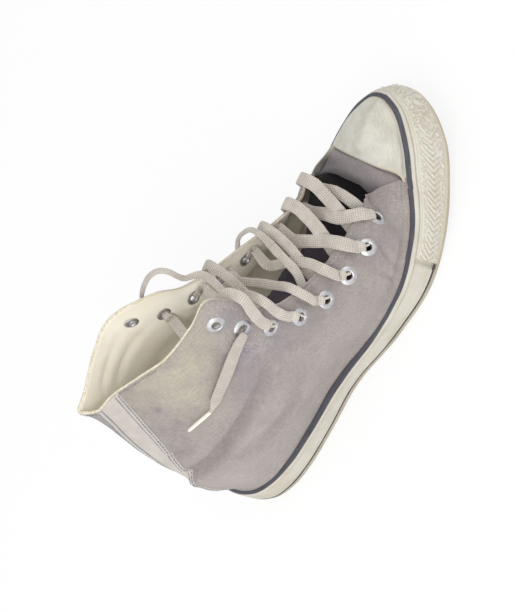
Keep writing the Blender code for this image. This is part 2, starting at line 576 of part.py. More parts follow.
# foxing: one closed band, set back where the toe bumper lies on it
fox_out = lambda x, h: outer_inset(x, h) + (BUMP_WALL + GAP) * bump(x) * (h < band(x) - 4.0)
low_h = EDGE_H + GAP
foxing = ring_solid("foxing", [
    ring_points(SOLE_STATIONS, fox_out, low_h),
    ring_points(SOLE_STATIONS, fox_out, lambda x: 0.45 * band(x)),
    ring_points(SOLE_STATIONS, fox_out, lambda x: band(x) - 4.6),
    ring_points(SOLE_STATIONS, fox_out, lambda x: band(x) - 3.6),
    ring_points(SOLE_STATIONS, fox_out, lambda x: band(x) - 0.7),
    ring_points(SOLE_STATIONS, fox_out, lambda x: band(x), 0.8),
    ring_points(SOLE_STATIONS, inner_inset, lambda x: band(x)),
    ring_points(SOLE_STATIONS, inner_inset, low_h),
], closed_band=True)
material(foxing, RUBBER, 0.6)

# toe bumper: a strip round the toe, on the foxing
def bumper_ring(inset, h, add):
    pts = []
    for side in (-1, 1):
        ss = SOLE_STATIONS[SOLE_STATIONS <= BUMP_S[side] + 1e-4]
        ss = ss[::-1] if side < 0 else ss[1:]
        p, n = rim(side, ss)
        x = p[:, 0]
        hh = h(x) if callable(h) else h + 0 * x
        pts.append(np.c_[p - n * (inset(x, hh) + add)[:, None], hh + rise(x)])
    return np.concatenate(pts)


bump_rings = [
    bumper_ring(outer_inset, low_h, 0.0),
    bumper_ring(outer_inset, lambda x: 0.45 * band(x), -0.3),
    bumper_ring(outer_inset, lambda x: band(x) - BUMP_DROP - 0.8, 0.0),
    bumper_ring(outer_inset, lambda x: band(x) - BUMP_DROP, 0.9),
    bumper_ring(outer_inset, lambda x: band(x) - BUMP_DROP, BUMP_WALL),
    bumper_ring(outer_inset, lambda x: 0.45 * band(x), BUMP_WALL),
    bumper_ring(outer_inset, low_h, BUMP_WALL),
]
bn, bk = len(bump_rings[0]), len(bump_rings)
bump_faces = [(k * bn + i, k * bn + i + 1, ((k + 1) % bk) * bn + i + 1, ((k + 1) % bk) * bn + i)
              for k in range(bk) for i in range(bn - 1)]
bump_faces += [tuple(k * bn for k in range(bk)), tuple(k * bn + bn - 1 for k in range(bk))]
bumper = new_object("toe_bumper", [p for r in bump_rings for p in r], bump_faces)
material(bumper, BUMPER_RUBBER, 0.75)

# insole: a thin board on the slab, inside the upper
board = lambda x, h: inner_inset(x, h) + SNUG + WALL + BOARD_OFF
insole = ring_solid("insole", [
    ring_points(SOLE_STATIONS, board, SLAB_H + GAP),
    ring_points(SOLE_STATIONS, board, SLAB_H + GAP + 2.6),
    ring_points(SOLE_STATIONS, board, SLAB_H + GAP + 3.2, 0.8),
])
material(insole, BOARD, 0.9)

# upper: one sheet round the whole last, walled inwards, then bored for the eyelets
LEVEL_STEPS = np.array([0, 0.1, 0.19, 0.3, 0.42, 0.54, 0.66, 0.78, 0.9, 1.0])
CAP_RIBS = np.r_[0, 0.25, 0.5, 0.75, 1.0, 1.35, 1.7, 2.0, 2.35, 2.7, CAP_END]
FRONT_RIBS = np.r_[CAP_RIBS, 3.4, 3.8, 4.2, 4.6, 5.0]
RIBS = {
    -1: np.r_[FRONT_RIBS, 5.25, 5.5, 5.75, 6.0, np.linspace(6, 15, 24)[1:], 15.33, 15.67, 16.0],
    1: np.r_[FRONT_RIBS, 5.25, 5.5, 5.75, 6.0, np.linspace(6, 16, 21)[1:], np.linspace(16, 19, 11)[1:]],
}
upper = sheet("upper", RIBS, LEVEL_STEPS)
solidify(upper, WALL, -1.0)
material(upper, CANVAS, 0.9)
bpy.context.view_layer.update()
apply_modifiers(upper)

seats = [seating(side, target) for row in EYELETS for side, target in zip((-1, 1), row)]
bore_mesh = bpy.data.meshes.new("bores")
bm = bmesh.new()
for _, _, _, p, n, _, _ in seats:
    bmesh.ops.create_cone(bm, cap_ends=True, segments=10, radius1=BORE_R * MM, radius2=BORE_R * MM,
                          depth=BORE_LONG * MM, matrix=frame_at(p, n))
bm.to_mesh(bore_mesh)
bm.free()
bores = bpy.data.objects.new("bores", bore_mesh)
CUTTERS.objects.link(bores)
bores.hide_render = True
bores.display_type = "WIRE"
cut = upper.modifiers.new("bores", "BOOLEAN")
cut.operation = "DIFFERENCE"
cut.solver = "EXACT"
cut.object = bores

# toe cap: the same face again, lifted off the upper
cap = sheet("toe_cap", {-1: CAP_RIBS, 1: CAP_RIBS}, np.r_[CAP_LOW, LEVEL_STEPS[3:]], CAP_OFF)
solidify(cap, CAP_WALL, 1.0)
material(cap, CAP_RUBBER, 0.5)

# eyelets: a flanged barrel turned for each bore, its two flanges seated on the cloth
for k, (side, u, v, p, n, top, base) in enumerate(seats):
    seat_z = {1: top + SEAT, 0: base - SEAT}
    section = [(r * MM, 0.0, (seat_z[at] + h) * MM) for r, h, at in RING]
    ring_name = f"eyelet_{'lateral' if side < 0 else 'medial'}_{k // 2 + 1}"
    ring = new_object(ring_name, [], [])
    ring.data.from_pydata(section, [(i, (i + 1) % len(RING)) for i in range(len(RING))], [])
    turn = ring.modifiers.new("turn", "SCREW")
    turn.axis = "Z"
    turn.steps = turn.render_steps = 8
    turn.use_merge_vertices = True
    turn.merge_threshold = 0.00001
    apply_modifiers(ring)
    ring.data.transform(frame_at(p, n))
    outward(ring.data)
    material(ring, METAL, 0.35, 0.9)

# tongue: a padded strip sunk between the flaps, slid to the lateral side
tt = np.linspace(0, len(TONGUE) - 1, 17)
sides = [hermite(np.arange(len(TONGUE)), np.array([r[k] for r in TONGUE]), tt) for k in range(3)]
across = np.linspace(0, 2, 7)
t_verts = []
for i in range(len(tt)):
    t_verts += list(hermite(np.arange(3), np.array([c[i] for c in sides]), across))
tn = len(across)
t_faces = [(i * tn + j, i * tn + j + 1, i * tn + tn + j + 1, i * tn + tn + j)
           for i in range(len(tt) - 1) for j in range(tn - 1)]
tongue = new_object("tongue", t_verts, t_faces)
solidify(tongue, TONGUE_THICK, 0.0)
material(tongue, BLACK_CLOTH, 0.95)


def eyelet_point(side, number, face):
    """Middle of the lace over an eyelet's hole, and the direction its face looks."""
    _, _, _, p, n, top, base = seats[(number - 1) * 2 + (side > 0)]
    height = top + SEAT + FLANGE_OUT + LACE_OFF if face > 0 else base - SEAT - FLANGE_IN - LACE_OFF
    return np.r_[p + n * height, n * face]


def ribbon(name, width, rows, per_step=2):
    """A flat strip with a rectangular section through rows of point and face direction."""
    rows = np.array(rows, float)
    steps = np.arange(len(rows))
    fine = hermite(steps, rows, np.linspace(0, len(rows) - 1, (len(rows) - 1) * per_step + 1))
    mid, face = fine[:, :3], fine[:, 3:]
    run = np.gradient(mid, axis=0)
    wide = np.cross(run, face)
    wide *= (width / 2) / np.linalg.norm(wide, axis=1)[:, None]
    thick = np.cross(wide, run)
    thick *= (LACE_THICK / 2) / np.linalg.norm(thick, axis=1)[:, None]
    corners = [mid + wide + thick, mid + wide - thick, mid - wide - thick, mid - wide + thick]
    verts = [corners[k][i] for i in range(len(mid)) for k in range(4)]
    faces = [(4 * i + k, 4 * i + (k + 1) % 4, 4 * i + 4 + (k + 1) % 4, 4 * i + 4 + k)
             for i in range(len(mid) - 1) for k in range(4)]
    last = 4 * (len(mid) - 1)
    faces += [(0, 1, 2, 3), (last, last + 1, last + 2, last + 3)]
    return new_object(name, verts, faces)


runs = {}
for name, width, start, end, rows in RUNS:
    rows = ([eyelet_point(*start)] if start else []) + [np.array(r, float) for r in rows] \
        + ([eyelet_point(*end)] if end else [])
    runs[name] = ribbon(name, width, rows)
for name, members in CROSSINGS:
    lace = runs[members[0]]
    for other in members[1:]:
        join = lace.modifiers.new(other, "BOOLEAN")
        join.operation = "UNION"
        join.solver = "EXACT"
        join.object = runs[other]
        apply_modifiers(lace)
        bpy.data.objects.remove(runs[other], do_unlink=True)
    lace.name = name
    material(lace, LACE, 0.9)

for name, route in CORDS:
    rows = np.array(route)
    lengths = np.r_[0, np.cumsum(np.linalg.norm(np.diff(rows, axis=0), axis=1))]
    fine = hermite(lengths, rows, np.linspace(0, lengths[-1], round(lengths[-1] / CORD_STEP) + 1))
    wire = bpy.data.curves.new(name, "CURVE")
    wire.dimensions = "3D"
    wire.bevel_depth = CORD_R * MM
    wire.bevel_resolution = 2
    wire.use_fill_caps = True
    spline = wire.splines.new("POLY")
    spline.points.add(len(fine) - 1)
    for point, at in zip(spline.points, fine):
        point.co = (*placed(at), 1.0)
    cord = bpy.data.objects.new(name, wire)
    PARTS.objects.link(cord)
    material(cord, LACE, 0.9)

# aglet: the stiff tip on the free end
tip, tail = (placed(p) for p in AGLET)
bpy.ops.mesh.primitive_cylinder_add(vertices=10, radius=AGLET_R * MM, depth=(tail - tip).length,
                                    location=(tip + tail) / 2)
aglet = bpy.context.object
aglet.name = "aglet"
aglet.rotation_euler = (tail - tip).to_track_quat("Z", "Y").to_euler()
material(aglet, TIP, 0.4)
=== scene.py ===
import math
import random

import bmesh
import bpy
import numpy as np
from mathutils import Matrix, Vector, noise


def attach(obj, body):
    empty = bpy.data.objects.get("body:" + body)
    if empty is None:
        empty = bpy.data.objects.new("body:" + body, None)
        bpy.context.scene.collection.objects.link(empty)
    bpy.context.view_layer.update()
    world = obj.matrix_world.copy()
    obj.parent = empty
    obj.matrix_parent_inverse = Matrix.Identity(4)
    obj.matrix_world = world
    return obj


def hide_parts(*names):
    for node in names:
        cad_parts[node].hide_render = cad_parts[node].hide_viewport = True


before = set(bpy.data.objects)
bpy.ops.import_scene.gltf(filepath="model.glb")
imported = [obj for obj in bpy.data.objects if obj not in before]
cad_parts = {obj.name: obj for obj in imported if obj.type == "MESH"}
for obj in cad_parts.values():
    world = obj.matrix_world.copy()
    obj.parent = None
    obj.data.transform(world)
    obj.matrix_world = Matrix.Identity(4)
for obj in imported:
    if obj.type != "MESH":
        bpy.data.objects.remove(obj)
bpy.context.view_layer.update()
random.seed(7)
mm = 0.001
middle = np.array([146.5, -2.9, 0.0])  # middle of the footprint
print("frame loaded:", len(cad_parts), "nodes")


def toRow(points):
    return (np.asarray(points, float) - middle) * mm


def unit(rows):
    rows = np.asarray(rows, float)
    return rows / np.maximum(np.linalg.norm(rows, axis=-1, keepdims=True), 1e-9)


def smooth(q):
    q = np.clip(q, 0, 1)
    return q * q * (3 - 2 * q)


def runOf(rows):
    # length from the first row to each row
    return np.r_[0, np.cumsum(np.linalg.norm(np.diff(rows, axis=0), axis=1))]


def climb(grid):
    # length up each column of a grid of points
    return np.cumsum(np.linalg.norm(np.diff(grid, axis=1, prepend=grid[:, :1]), axis=2), axis=1)


def bell(distance, width):
    # 1 at no distance, fading over the width
    return np.exp(-(distance / width) ** 2)


def colour(red, green, blue):
    # a colour as a paint chart gives it, 0 to 255, made linear
    parts = [c / 255 for c in (red, green, blue)]
    return tuple(c / 12.92 if c < 0.04045 else ((c + 0.055) / 1.055) ** 2.4 for c in parts) + (1.0,)


# camera, lamps and floor
view = {
    "lens": 93.35,
    "place": (0.1972, -0.5572, 0.86505),
    "right": (0.43627, -0.67101, -0.59951),
    "up": (0.87419, 0.47393, 0.10571),
    "back": (0.21319, -0.57021, 0.79335),
}
scene = bpy.context.scene
scene.view_settings.view_transform = "Standard"
cameraData = bpy.data.cameras.new("camera")
cameraData.lens = view["lens"]
cameraData.clip_start = 0.01
cameraData.clip_end = 60
camera = bpy.data.objects.new("camera", cameraData)
scene.collection.objects.link(camera)
turned = np.eye(4)
for column, key in enumerate(("right", "up", "back", "place")):
    turned[:3, column] = view[key]
camera.matrix_world = Matrix(turned.tolist())
scene.camera = camera

aim = Vector((0, 0, 0.06))
lamps = {
    "by the camera": {"place": (-0.1, -0.72, 1.27), "size": 0.9, "power": 9.0},
    "outer side": {"place": (-0.9, -0.9, 0.5), "size": 0.8, "power": 3.2},
    "toe": {"place": (1.15, 0.1, 0.75), "size": 0.8, "power": 2.0},
}
for name, lamp in lamps.items():
    light = bpy.data.lights.new(name, "AREA")
    light.size = lamp["size"]
    light.energy = lamp["power"]
    shine = bpy.data.objects.new(name, light)
    shine.location = lamp["place"]
    shine.rotation_euler = (Vector(lamp["place"]) - aim).to_track_quat("Z", "Y").to_euler()
    scene.collection.objects.link(shine)


# a socket that adds its own Math nodes
class Value:
    def __init__(self, look, socket):
        self.look, self.socket = look, socket

    def maths(self, operation, *others):
        return self.look.maths(operation, self, *others)

    def __add__(self, other):
        return self.maths("ADD", other)

    def __mul__(self, other):
        return self.maths("MULTIPLY", other)

    def __sub__(self, other):
        return self.maths("SUBTRACT", other)

    def __rsub__(self, other):
        return self.look.maths("SUBTRACT", other, self)

    __radd__ = __add__
    __rmul__ = __mul__


class Look:
    def __init__(self, name, tree=None, **fixed):
        # a new material, or the nodes of a tree that is there already
        if tree is None:
            self.material = bpy.data.materials.new(name)
            self.material.use_nodes = True
            tree = self.material.node_tree
            self.shader = tree.nodes["Principled BSDF"]
        self.tree = tree
        for socket, value in fixed.items():
            self.shader.inputs[socket.replace("_", " ")].default_value = value

    def node(self, kind, settings, inputs, output=0):
        made = self.tree.nodes.new(kind)
        for key, value in settings.items():
            setattr(made, key, value)
        for key, value in inputs.items():
            if isinstance(value, Value):
                self.tree.links.new(value.socket, made.inputs[key])
            else:
                made.inputs[key].default_value = value
        return Value(self, made.outputs[output])

    def maths(self, operation, *terms):
        return self.node("ShaderNodeMath", {"operation": operation}, dict(enumerate(terms)))

    def mark(self, name):
        return self.node("ShaderNodeAttribute", {"attribute_name": name}, {}, 2)

    def place(self):
        return self.node("ShaderNodeTexCoord", {}, {}, "Object")

    def flat(self):
        return self.node("ShaderNodeTexCoord", {}, {}, "UV")

    def scaled(self, vector, x, y, z=1.0):
        return self.node("ShaderNodeMapping", {}, {"Vector": vector, "Scale": (x, y, z)})

    def axis(self, vector, name):
        return self.node("ShaderNodeSeparateXYZ", {}, {0: vector}, name)

    def clouds(self, vector, scale, detail=3.0, rough=0.55):
        return self.node("ShaderNodeTexNoise", {},
                         {"Vector": vector, "Scale": scale, "Detail": detail, "Roughness": rough})

    def step(self, value, low, high):
        return self.node("ShaderNodeMapRange", {"interpolation_type": "SMOOTHSTEP"},
                         {"Value": value, "From Min": low, "From Max": high})

    def mix(self, factor, first, second, blend="MIX"):
        return self.node("ShaderNodeMix", {"data_type": "RGBA", "blend_type": blend},
                         {0: factor, 6: first, 7: second}, 2)

    def bump(self, height, distance, strength=1.0, under=None):
        inputs = {"Height": height, "Distance": distance, "Strength": strength}
        if under is not None:
            inputs["Normal"] = under
        return self.node("ShaderNodeBump", {}, inputs)

    def wire(self, **sockets):
        for name, value in sockets.items():
            self.tree.links.new(value.socket, self.shader.inputs[name.replace("_", " ")])
        return self.material


def rayShown(look):
    # 1 for the rays that should see a plain white surround
    seen = look.node("ShaderNodeLightPath", {}, {}, "Is Camera Ray")
    for name in ("Is Glossy Ray", "Is Transmission Ray"):
        seen = seen.maths("MAXIMUM", look.node("ShaderNodeLightPath", {}, {}, name))
    return seen


surround = {"fill": 0.73, "shown": 1.0, "floor": 0.9, "floorShown": 0.82, "reach": 12.0}
world = bpy.data.worlds.new("surround")
world.use_nodes = True
scene.world = world
sky = Look("surround", world.node_tree)
level = sky.node("ShaderNodeMapRange", {},
                 {"Value": rayShown(sky), "To Min": surround["fill"], "To Max": surround["shown"]})
backdrop = sky.tree.nodes["Background"]
backdrop.inputs["Color"].default_value = (1, 1, 1, 1)
sky.tree.links.new(level.socket, backdrop.inputs["Strength"])

bpy.ops.object.select_all(action="DESELECT")
bpy.ops.mesh.primitive_plane_add(size=surround["reach"], location=(0, 0, 0))
floor = bpy.context.object
floor.name = "floor"
floorLook = Look("floor")
floorLook.tree.nodes.remove(floorLook.shader)
matt = floorLook.node("ShaderNodeBsdfDiffuse", {}, {"Color": (surround["floor"],) * 3 + (1,)})
glow = floorLook.node("ShaderNodeEmission", {}, {"Color": (1, 1, 1, 1), "Strength": 1.0})
shares = {0: rayShown(floorLook) * surround["floorShown"], 1: matt, 2: glow}
blend = floorLook.node("ShaderNodeMixShader", {}, shares)
floorLook.tree.links.new(blend.socket, floorLook.tree.nodes["Material Output"].inputs["Surface"])
floor.data.materials.append(floorLook.material)
print("camera, lamps and floor set")


# the shape of the last, in the same tables as the part
# outline of the outsole: x, half width on the outer side, half width on the inner side
outline = (
    (293.0, -6.0, 6.0), (290.0, 5.5, 19.0), (275.0, 25.0, 34.5), (250.0, 38.5, 45.0),
    (220.0, 49.0, 49.0), (190.0, 54.3, 46.5), (150.0, 50.0, 37.5), (110.0, 40.5, 33.0),
    (70.0, 38.2, 34.5), (45.0, 36.5, 35.0), (25.0, 32.0, 31.0), (12.0, 25.0, 24.5),
    (4.0, 15.0, 15.0), (0.0, 0.0, 0.0),
)
# foxing: x, height of its top over the outsole bottom, how far the top leans in
foxingRows = (
    (0.0, 27.7, 3.4), (50.0, 27.2, -1.5), (110.0, 26.3, -3.8), (160.0, 26.6, 0.8),
    (200.0, 28.0, 6.0), (250.0, 31.5, 8.6), (293.0, 33.0, 10.0),
)
# ridge of the toe and vamp, ribs 0 to 5
ridge = (
    (262.0, 4.8, 60.4), (256.0, 4.4, 59.8), (250.0, 3.8, 58.2), (241.0, 2.6, 54.6),
    (232.0, 0.0, 51.6), (226.0, -3.0, 50.6),
)
# ribs: foot station 0 toe to 1 heel, low point, high point
outerRibs = (
    (0.000, (275.8, 6.6, 59.6), (270.0, 5.8, 60.6)),
    (0.055, (269.5, -3.5, 57.2), (263.5, 0.4, 59.4)),
    (0.125, (260.5, -13.0, 52.6), (256.0, -5.0, 57.0)),
    (0.205, (243.5, -22.0, 46.4), (242.0, -10.5, 52.2)),
    (0.265, (229.5, -28.5, 44.2), (231.0, -14.5, 49.8)),
    (0.310, (216.5, -35.5, 42.6), (220.5, -23.0, 50.8)),
    (0.345, (208.5, -42.0, 42.0), (212.5, -36.5, 55.0)),
    (0.380, (199.5, -45.5, 42.5), (202.5, -41.0, 59.5)),
    (0.425, (184.5, -47.5, 43.5), (187.5, -43.5, 66.0)),
    (0.500, (153.0, -47.5, 48.0), (159.0, -45.0, 74.0)),
    (0.590, (118.0, -43.0, 58.0), (132.0, -41.0, 98.0)),
    (0.655, (101.0, -42.0, 66.0), (119.0, -36.0, 122.0)),
    (0.720, (82.0, -41.0, 67.0), (99.0, -32.0, 116.0)),
    (0.790, (58.0, -37.5, 66.0), (76.0, -22.0, 112.0)),
    (0.860, (36.0, -31.5, 64.0), (53.0, -8.0, 108.0)),
    (0.955, (11.0, -10.5, 62.0), (35.0, 8.5, 108.0)),
    (1.000, (7.0, 1.0, 60.0), (26.0, 17.0, 105.0)),
)
innerRibs = (
    (0.000, (275.8, 6.6, 59.6), (270.0, 5.8, 60.6)),
    (0.050, (268.5, 15.5, 57.0), (262.5, 9.5, 59.4)),
    (0.120, (258.5, 25.5, 52.4), (255.0, 14.5, 57.0)),
    (0.215, (238.5, 30.0, 46.0), (239.5, 17.0, 52.2)),
    (0.270, (226.5, 33.0, 44.0), (229.0, 18.0, 50.2)),
    (0.320, (214.5, 36.0, 43.0), (221.0, 24.0, 51.5)),
    (0.350, (207.0, 39.0, 42.0), (212.0, 33.5, 52.0)),
    (0.385, (197.0, 39.5, 43.0), (198.0, 31.5, 56.0)),
    (0.425, (183.5, 39.0, 46.0), (183.0, 29.0, 63.0)),
    (0.490, (161.0, 37.0, 51.0), (159.5, 26.0, 74.0)),
    (0.555, (141.0, 37.0, 57.0), (141.0, 24.5, 84.0)),
    (0.595, (127.0, 38.0, 60.0), (124.0, 25.0, 99.0)),
    (0.635, (114.0, 38.5, 63.0), (111.0, 28.0, 110.0)),
    (0.680, (100.0, 38.5, 64.0), (98.0, 32.0, 113.0)),
    (0.725, (83.0, 38.5, 64.0), (82.0, 38.5, 113.0)),
    (0.775, (66.0, 38.0, 63.0), (64.5, 42.0, 110.0)),
    (0.850, (38.0, 35.5, 62.0), (42.0, 42.5, 106.0)),
    (0.905, (19.0, 29.0, 61.0), (25.0, 39.0, 103.5)),
    (0.955, (8.5, 13.5, 60.5), (16.5, 28.0, 103.0)),
)
# free edge from the throat to the back, from rib 5
outerEdge = (
    (226.0, -3.0, 50.6), (222.0, -16.5, 57.5), (207.5, -22.0, 66.0), (190.0, -27.0, 75.5),
    (165.5, -31.0, 94.0), (147.5, -34.5, 123.0), (142.5, -26.0, 165.0), (121.0, -20.0, 162.5),
    (95.0, -10.5, 158.0), (75.0, 4.0, 155.0), (58.5, 16.0, 152.5), (48.5, 21.0, 151.5),
)
innerEdge = (
    (226.0, -3.0, 50.6), (216.5, 25.0, 61.5), (202.0, 23.0, 65.5), (185.0, 21.5, 78.5),
    (161.0, 24.0, 97.5), (142.0, 26.0, 111.5), (127.5, 28.0, 127.0), (120.5, 29.0, 146.0),
    (104.0, 34.0, 162.5), (88.0, 42.0, 161.0), (66.0, 41.5, 158.0), (44.0, 40.5, 152.5),
    (31.0, 38.5, 151.0), (38.0, 26.0, 150.0), (48.5, 21.0, 151.5),
)
last = {
    "length": 293.0, "spring": 25.0, "springFrom": 175.0, "arch": 1.2, "archFrom": 72.0, "archOver": 68.0,
    "soleEdge": 3.6, "slab": 10.0, "foot": 0.9, "gap": 0.35, "snug": 0.95, "leansFrom": 4.0, "steepest": 1.2,
    "foxingWall": 3.4, "bumperWall": 2.0, "bumperEnd": 203.0, "bumperDrop": 5.0, "slopeOver": 2.5,
    "levels": (0.0, 0.17, 0.44, 0.74, 1.0),
}
ribRows = {-1: outerRibs, 1: innerRibs + (outerRibs[-1],)}
edgeRows = {-1: outerEdge, 1: innerEdge}
lastRib = {side: len(rows) - 1 for side, rows in ribRows.items()}


def cubic(q, width, first, second, leaving, arriving):
    # between two rows, with the slopes at them
    return ((2 * q**3 - 3 * q**2 + 1) * first + (q**3 - 2 * q**2 + q) * width * leaving
            + (3 * q**2 - 2 * q**3) * second + (q**3 - q**2) * width * arriving)


def hermite(ts, ps, t):
    # smooth curve through rows, with parabola slopes at the rows
    ts, ps, t = np.asarray(ts, float), np.asarray(ps, float), np.atleast_1d(t).astype(float)
    h = np.diff(ts)
    d = np.diff(ps, axis=0) / h[:, None]
    m = np.empty_like(ps)
    m[1:-1] = (d[:-1] * h[1:, None] + d[1:] * h[:-1, None]) / (h[1:] + h[:-1])[:, None]
    m[0] = 1.5 * d[0] - 0.5 * m[1] if len(ts) > 2 else d[0]
    m[-1] = 1.5 * d[-1] - 0.5 * m[-2] if len(ts) > 2 else d[-1]
    i = np.clip(np.searchsorted(ts, t, side="right") - 1, 0, len(ts) - 2)
    return cubic(((t - ts[i]) / h[i])[:, None], h[i][:, None], ps[i], ps[i + 1], m[i], m[i + 1])


def closedOutline():
    rows = np.array(outline)
    ring = np.r_[np.c_[rows[:, 0], -rows[:, 1]], np.c_[rows[:, 0], rows[:, 2]][-2::-1]]
    ring = np.r_[ring[-4:-1], ring, ring[1:4]]
    steps = np.linalg.norm(np.diff(ring, axis=0), axis=1)
    ts = np.r_[0, np.cumsum(np.maximum(steps, 1e-6))]
    keep = np.r_[True, steps > 1e-5]
    ring, ts = ring[keep], ts[keep]
    heel = int(np.argmin(np.hypot(ring[:, 0], ring[:, 1])))
    tips = np.where(np.abs(ring[:, 0] - last["length"]) < 1e-6)[0]
    fine = np.linspace(ts[0], ts[-1], 9001)
    curve = hermite(ts, ring, fine)
    start = ts[max(i for i in tips if i < heel)]
    end = ts[min(i for i in tips if i > heel)]
    return {-1: curve[(fine >= start) & (fine <= ts[heel])],
            1: curve[(fine >= ts[heel]) & (fine <= end)][::-1]}


rimLine = closedOutline()
rimRun = {k: runOf(rimLine[k]) for k in rimLine}


def along(side, t):
    # outline point at length t from the toe tip; past either end it runs on round the other side
    run, other = rimRun[side], rimRun[-side]
    flip = (t < 0) | (t > run[-1])
    far = np.where(t < 0, -t, other[-1] - (t - run[-1]))
    own = [np.interp(t, run, rimLine[side][:, k]) for k in (0, 1)]
    past = [np.interp(far, other, rimLine[-side][:, k]) for k in (0, 1)]
    return np.c_[np.where(flip, past[0], own[0]), np.where(flip, past[1], own[1])]


def rimAt(side, station):
    # outline point at a station, and its outward direction
    t = np.clip(np.atleast_1d(station), 0, 1) * rimRun[side][-1]
    d = along(side, t + last["slopeOver"]) - along(side, t - last["slopeOver"])
    return along(side, t), unit(np.c_[d[:, 1], -d[:, 0]] * side)


def riseAt(x):
    # how high the sole lies over the floor
    forward = np.clip((x - last["springFrom"]) / (last["length"] - last["springFrom"]), 0, 1.1)
    arch = np.sin(np.pi * np.clip((x - last["archFrom"]) / last["archOver"], 0, 1))
    return last["spring"] * forward ** 2 + last["arch"] * arch ** 2


def foxingTop(x):
    rows = np.array(foxingRows)
    return np.interp(x, rows[:, 0], rows[:, 1])


def leanAt(x):
    rows = np.array(foxingRows)
    return np.interp(x, rows[:, 0], rows[:, 2])


def bumperShare(x):
    return smooth((x - (last["bumperEnd"] - 5)) / 3.5)


def upShare(x, h, low=last["leansFrom"]):
    # share of the foxing's height
    return np.clip((h - low) / (foxingTop(x) - low), 0, 1)


def outerInset(x, h):
    return leanAt(x) * upShare(x, h) ** 1.3


def innerInset(x, h):
    low = last["foxingWall"] + 0.2 + (last["bumperWall"] + last["gap"]) * bumperShare(x)
    high = np.maximum(last["foxingWall"] + leanAt(x) + 0.4 * bumperShare(x), low + 0.2 * leanAt(x))
    return low + (high - low) * upShare(x, h)


lean = {"most": 3.4, "from": 216.0, "over": 44.0, "tip": 294.0, "tipOver": 26.0}


def toeLean(side, x, h):
    # on the toe's outer side the foxing leans in further than in the part
    reach = smooth((x - lean["from"]) / lean["over"]) * smooth((lean["tip"] - x) / lean["tipOver"])
    return lean["most"] * reach * upShare(x, h, last["soleEdge"]) * (side < 0)


def ribPoints(side, u):
    # foot, knee over the foxing, two points of the wall and the upper end of each rib
    rows, other = ribRows[side], ribRows[-side]
    ts = np.arange(len(rows), dtype=float)
    wide = np.r_[-1.0, ts, ts[-1] + 1]
    low = hermite(wide, np.array([other[1][1]] + [r[1] for r in rows] + [other[-2][1]]), u)
    high = hermite(wide, np.array([other[1][2]] + [r[2] for r in rows] + [other[-2][2]]), u)
    p, n = rimAt(side, np.interp(u, ts, [r[0] for r in rows]))
    x = p[:, 0]
    footHeight = last["slab"] + last["foot"] + 0 * x
    foot = np.c_[p - n * (innerInset(x, footHeight) + last["snug"])[:, None], footHeight + riseAt(x)]
    kneeIn = innerInset(x, foxingTop(x)) + last["snug"] + toeLean(side, x, foxingTop(x))
    knee = np.c_[p - n * kneeIn[:, None], foxingTop(x) + riseAt(x)]
    crown = hermite(np.arange(len(ridge)), np.array(ridge), np.clip(u, 0, 5))
    edges = np.array(edgeRows[side])
    edge = hermite(np.arange(len(edges)) + 5.0, edges, np.clip(u, 5, ts[-1]))
    return foot, knee, low, high, np.where((u <= 5)[:, None], crown, edge)


def surfaceAt(side, u, v):
    # the last at rib u and level v
    u, v = np.atleast_1d(u).astype(float), np.atleast_1d(v).astype(float)
    c = np.stack(ribPoints(side, u), axis=1)
    o = ribPoints(-side, np.minimum(u, 5.0))[3]
    ts = np.array(last["levels"])
    h = np.diff(ts)
    d = np.diff(c, axis=1) / h[None, :, None]
    m = np.empty_like(c)
    below, above = h[:-1][None, :, None], h[1:][None, :, None]
    m[:, 1:-1] = (d[:, :-1] * above + d[:, 1:] * below) / (above + below)
    m[:, 0] = d[:, 0]
    steep = np.linalg.norm(m[:, 1], axis=1) / np.linalg.norm(d[:, 1], axis=1)
    m[:, 1] /= np.maximum(steep / last["steepest"], 1)[:, None]  # no bulge over the foxing
    free = 1.4 * d[:, -1] - 0.4 * m[:, -2]
    over = (o - c[:, 3]) / (2 * h[-1])
    share = (np.clip((5.0 - u) / 1.2, 0, 1) * np.clip(u / 0.8, 0, 1))[:, None]
    m[:, -1] = free * (1 - share) + over * share
    i = np.clip(np.searchsorted(ts, v, side="right") - 1, 0, 3)
    k = np.arange(len(u))
    w = h[i][:, None]
    return cubic((v - ts[i])[:, None] / w, w, c[k, i], c[k, i + 1], m[k, i], m[k, i + 1])


def normalAt(side, u, v):
    u, v = np.atleast_1d(u).astype(float), np.atleast_1d(v).astype(float)
    e = 0.02
    du = surfaceAt(side, np.minimum(u + e, lastRib[side]), v) - surfaceAt(side, np.maximum(u - e, 0), v)
    tip = (u < e) & (v < 0.9)
    if tip.any():
        du[tip] = surfaceAt(side, u[tip] + e, v[tip]) - surfaceAt(-side, e - u[tip], v[tip])
    dv = surfaceAt(side, u, np.minimum(v + e, 1)) - surfaceAt(side, u, np.maximum(v - e, 0))
    return unit(np.cross(du, dv) * side)


def nearestOn(side, target, lowest=(5.0, 0.1), highest=None):
    # rib and level of the cloth nearest to a point
    target = np.array(target, float)
    least, most = np.array(lowest, float), np.array(highest or (lastRib[side], 1.0), float)
    lo, hi = least.copy(), most.copy()
    for _ in range(6):
        a, b = np.meshgrid(np.linspace(lo[0], hi[0], 29), np.linspace(lo[1], hi[1], 29))
        d = np.linalg.norm(surfaceAt(side, a.ravel(), b.ravel()) - target, axis=1)
        best = np.array([a.ravel()[d.argmin()], b.ravel()[d.argmin()]])
        span = (hi - lo) / 7
        lo, hi = np.maximum(best - span, least), np.minimum(best + span, most)
    return best
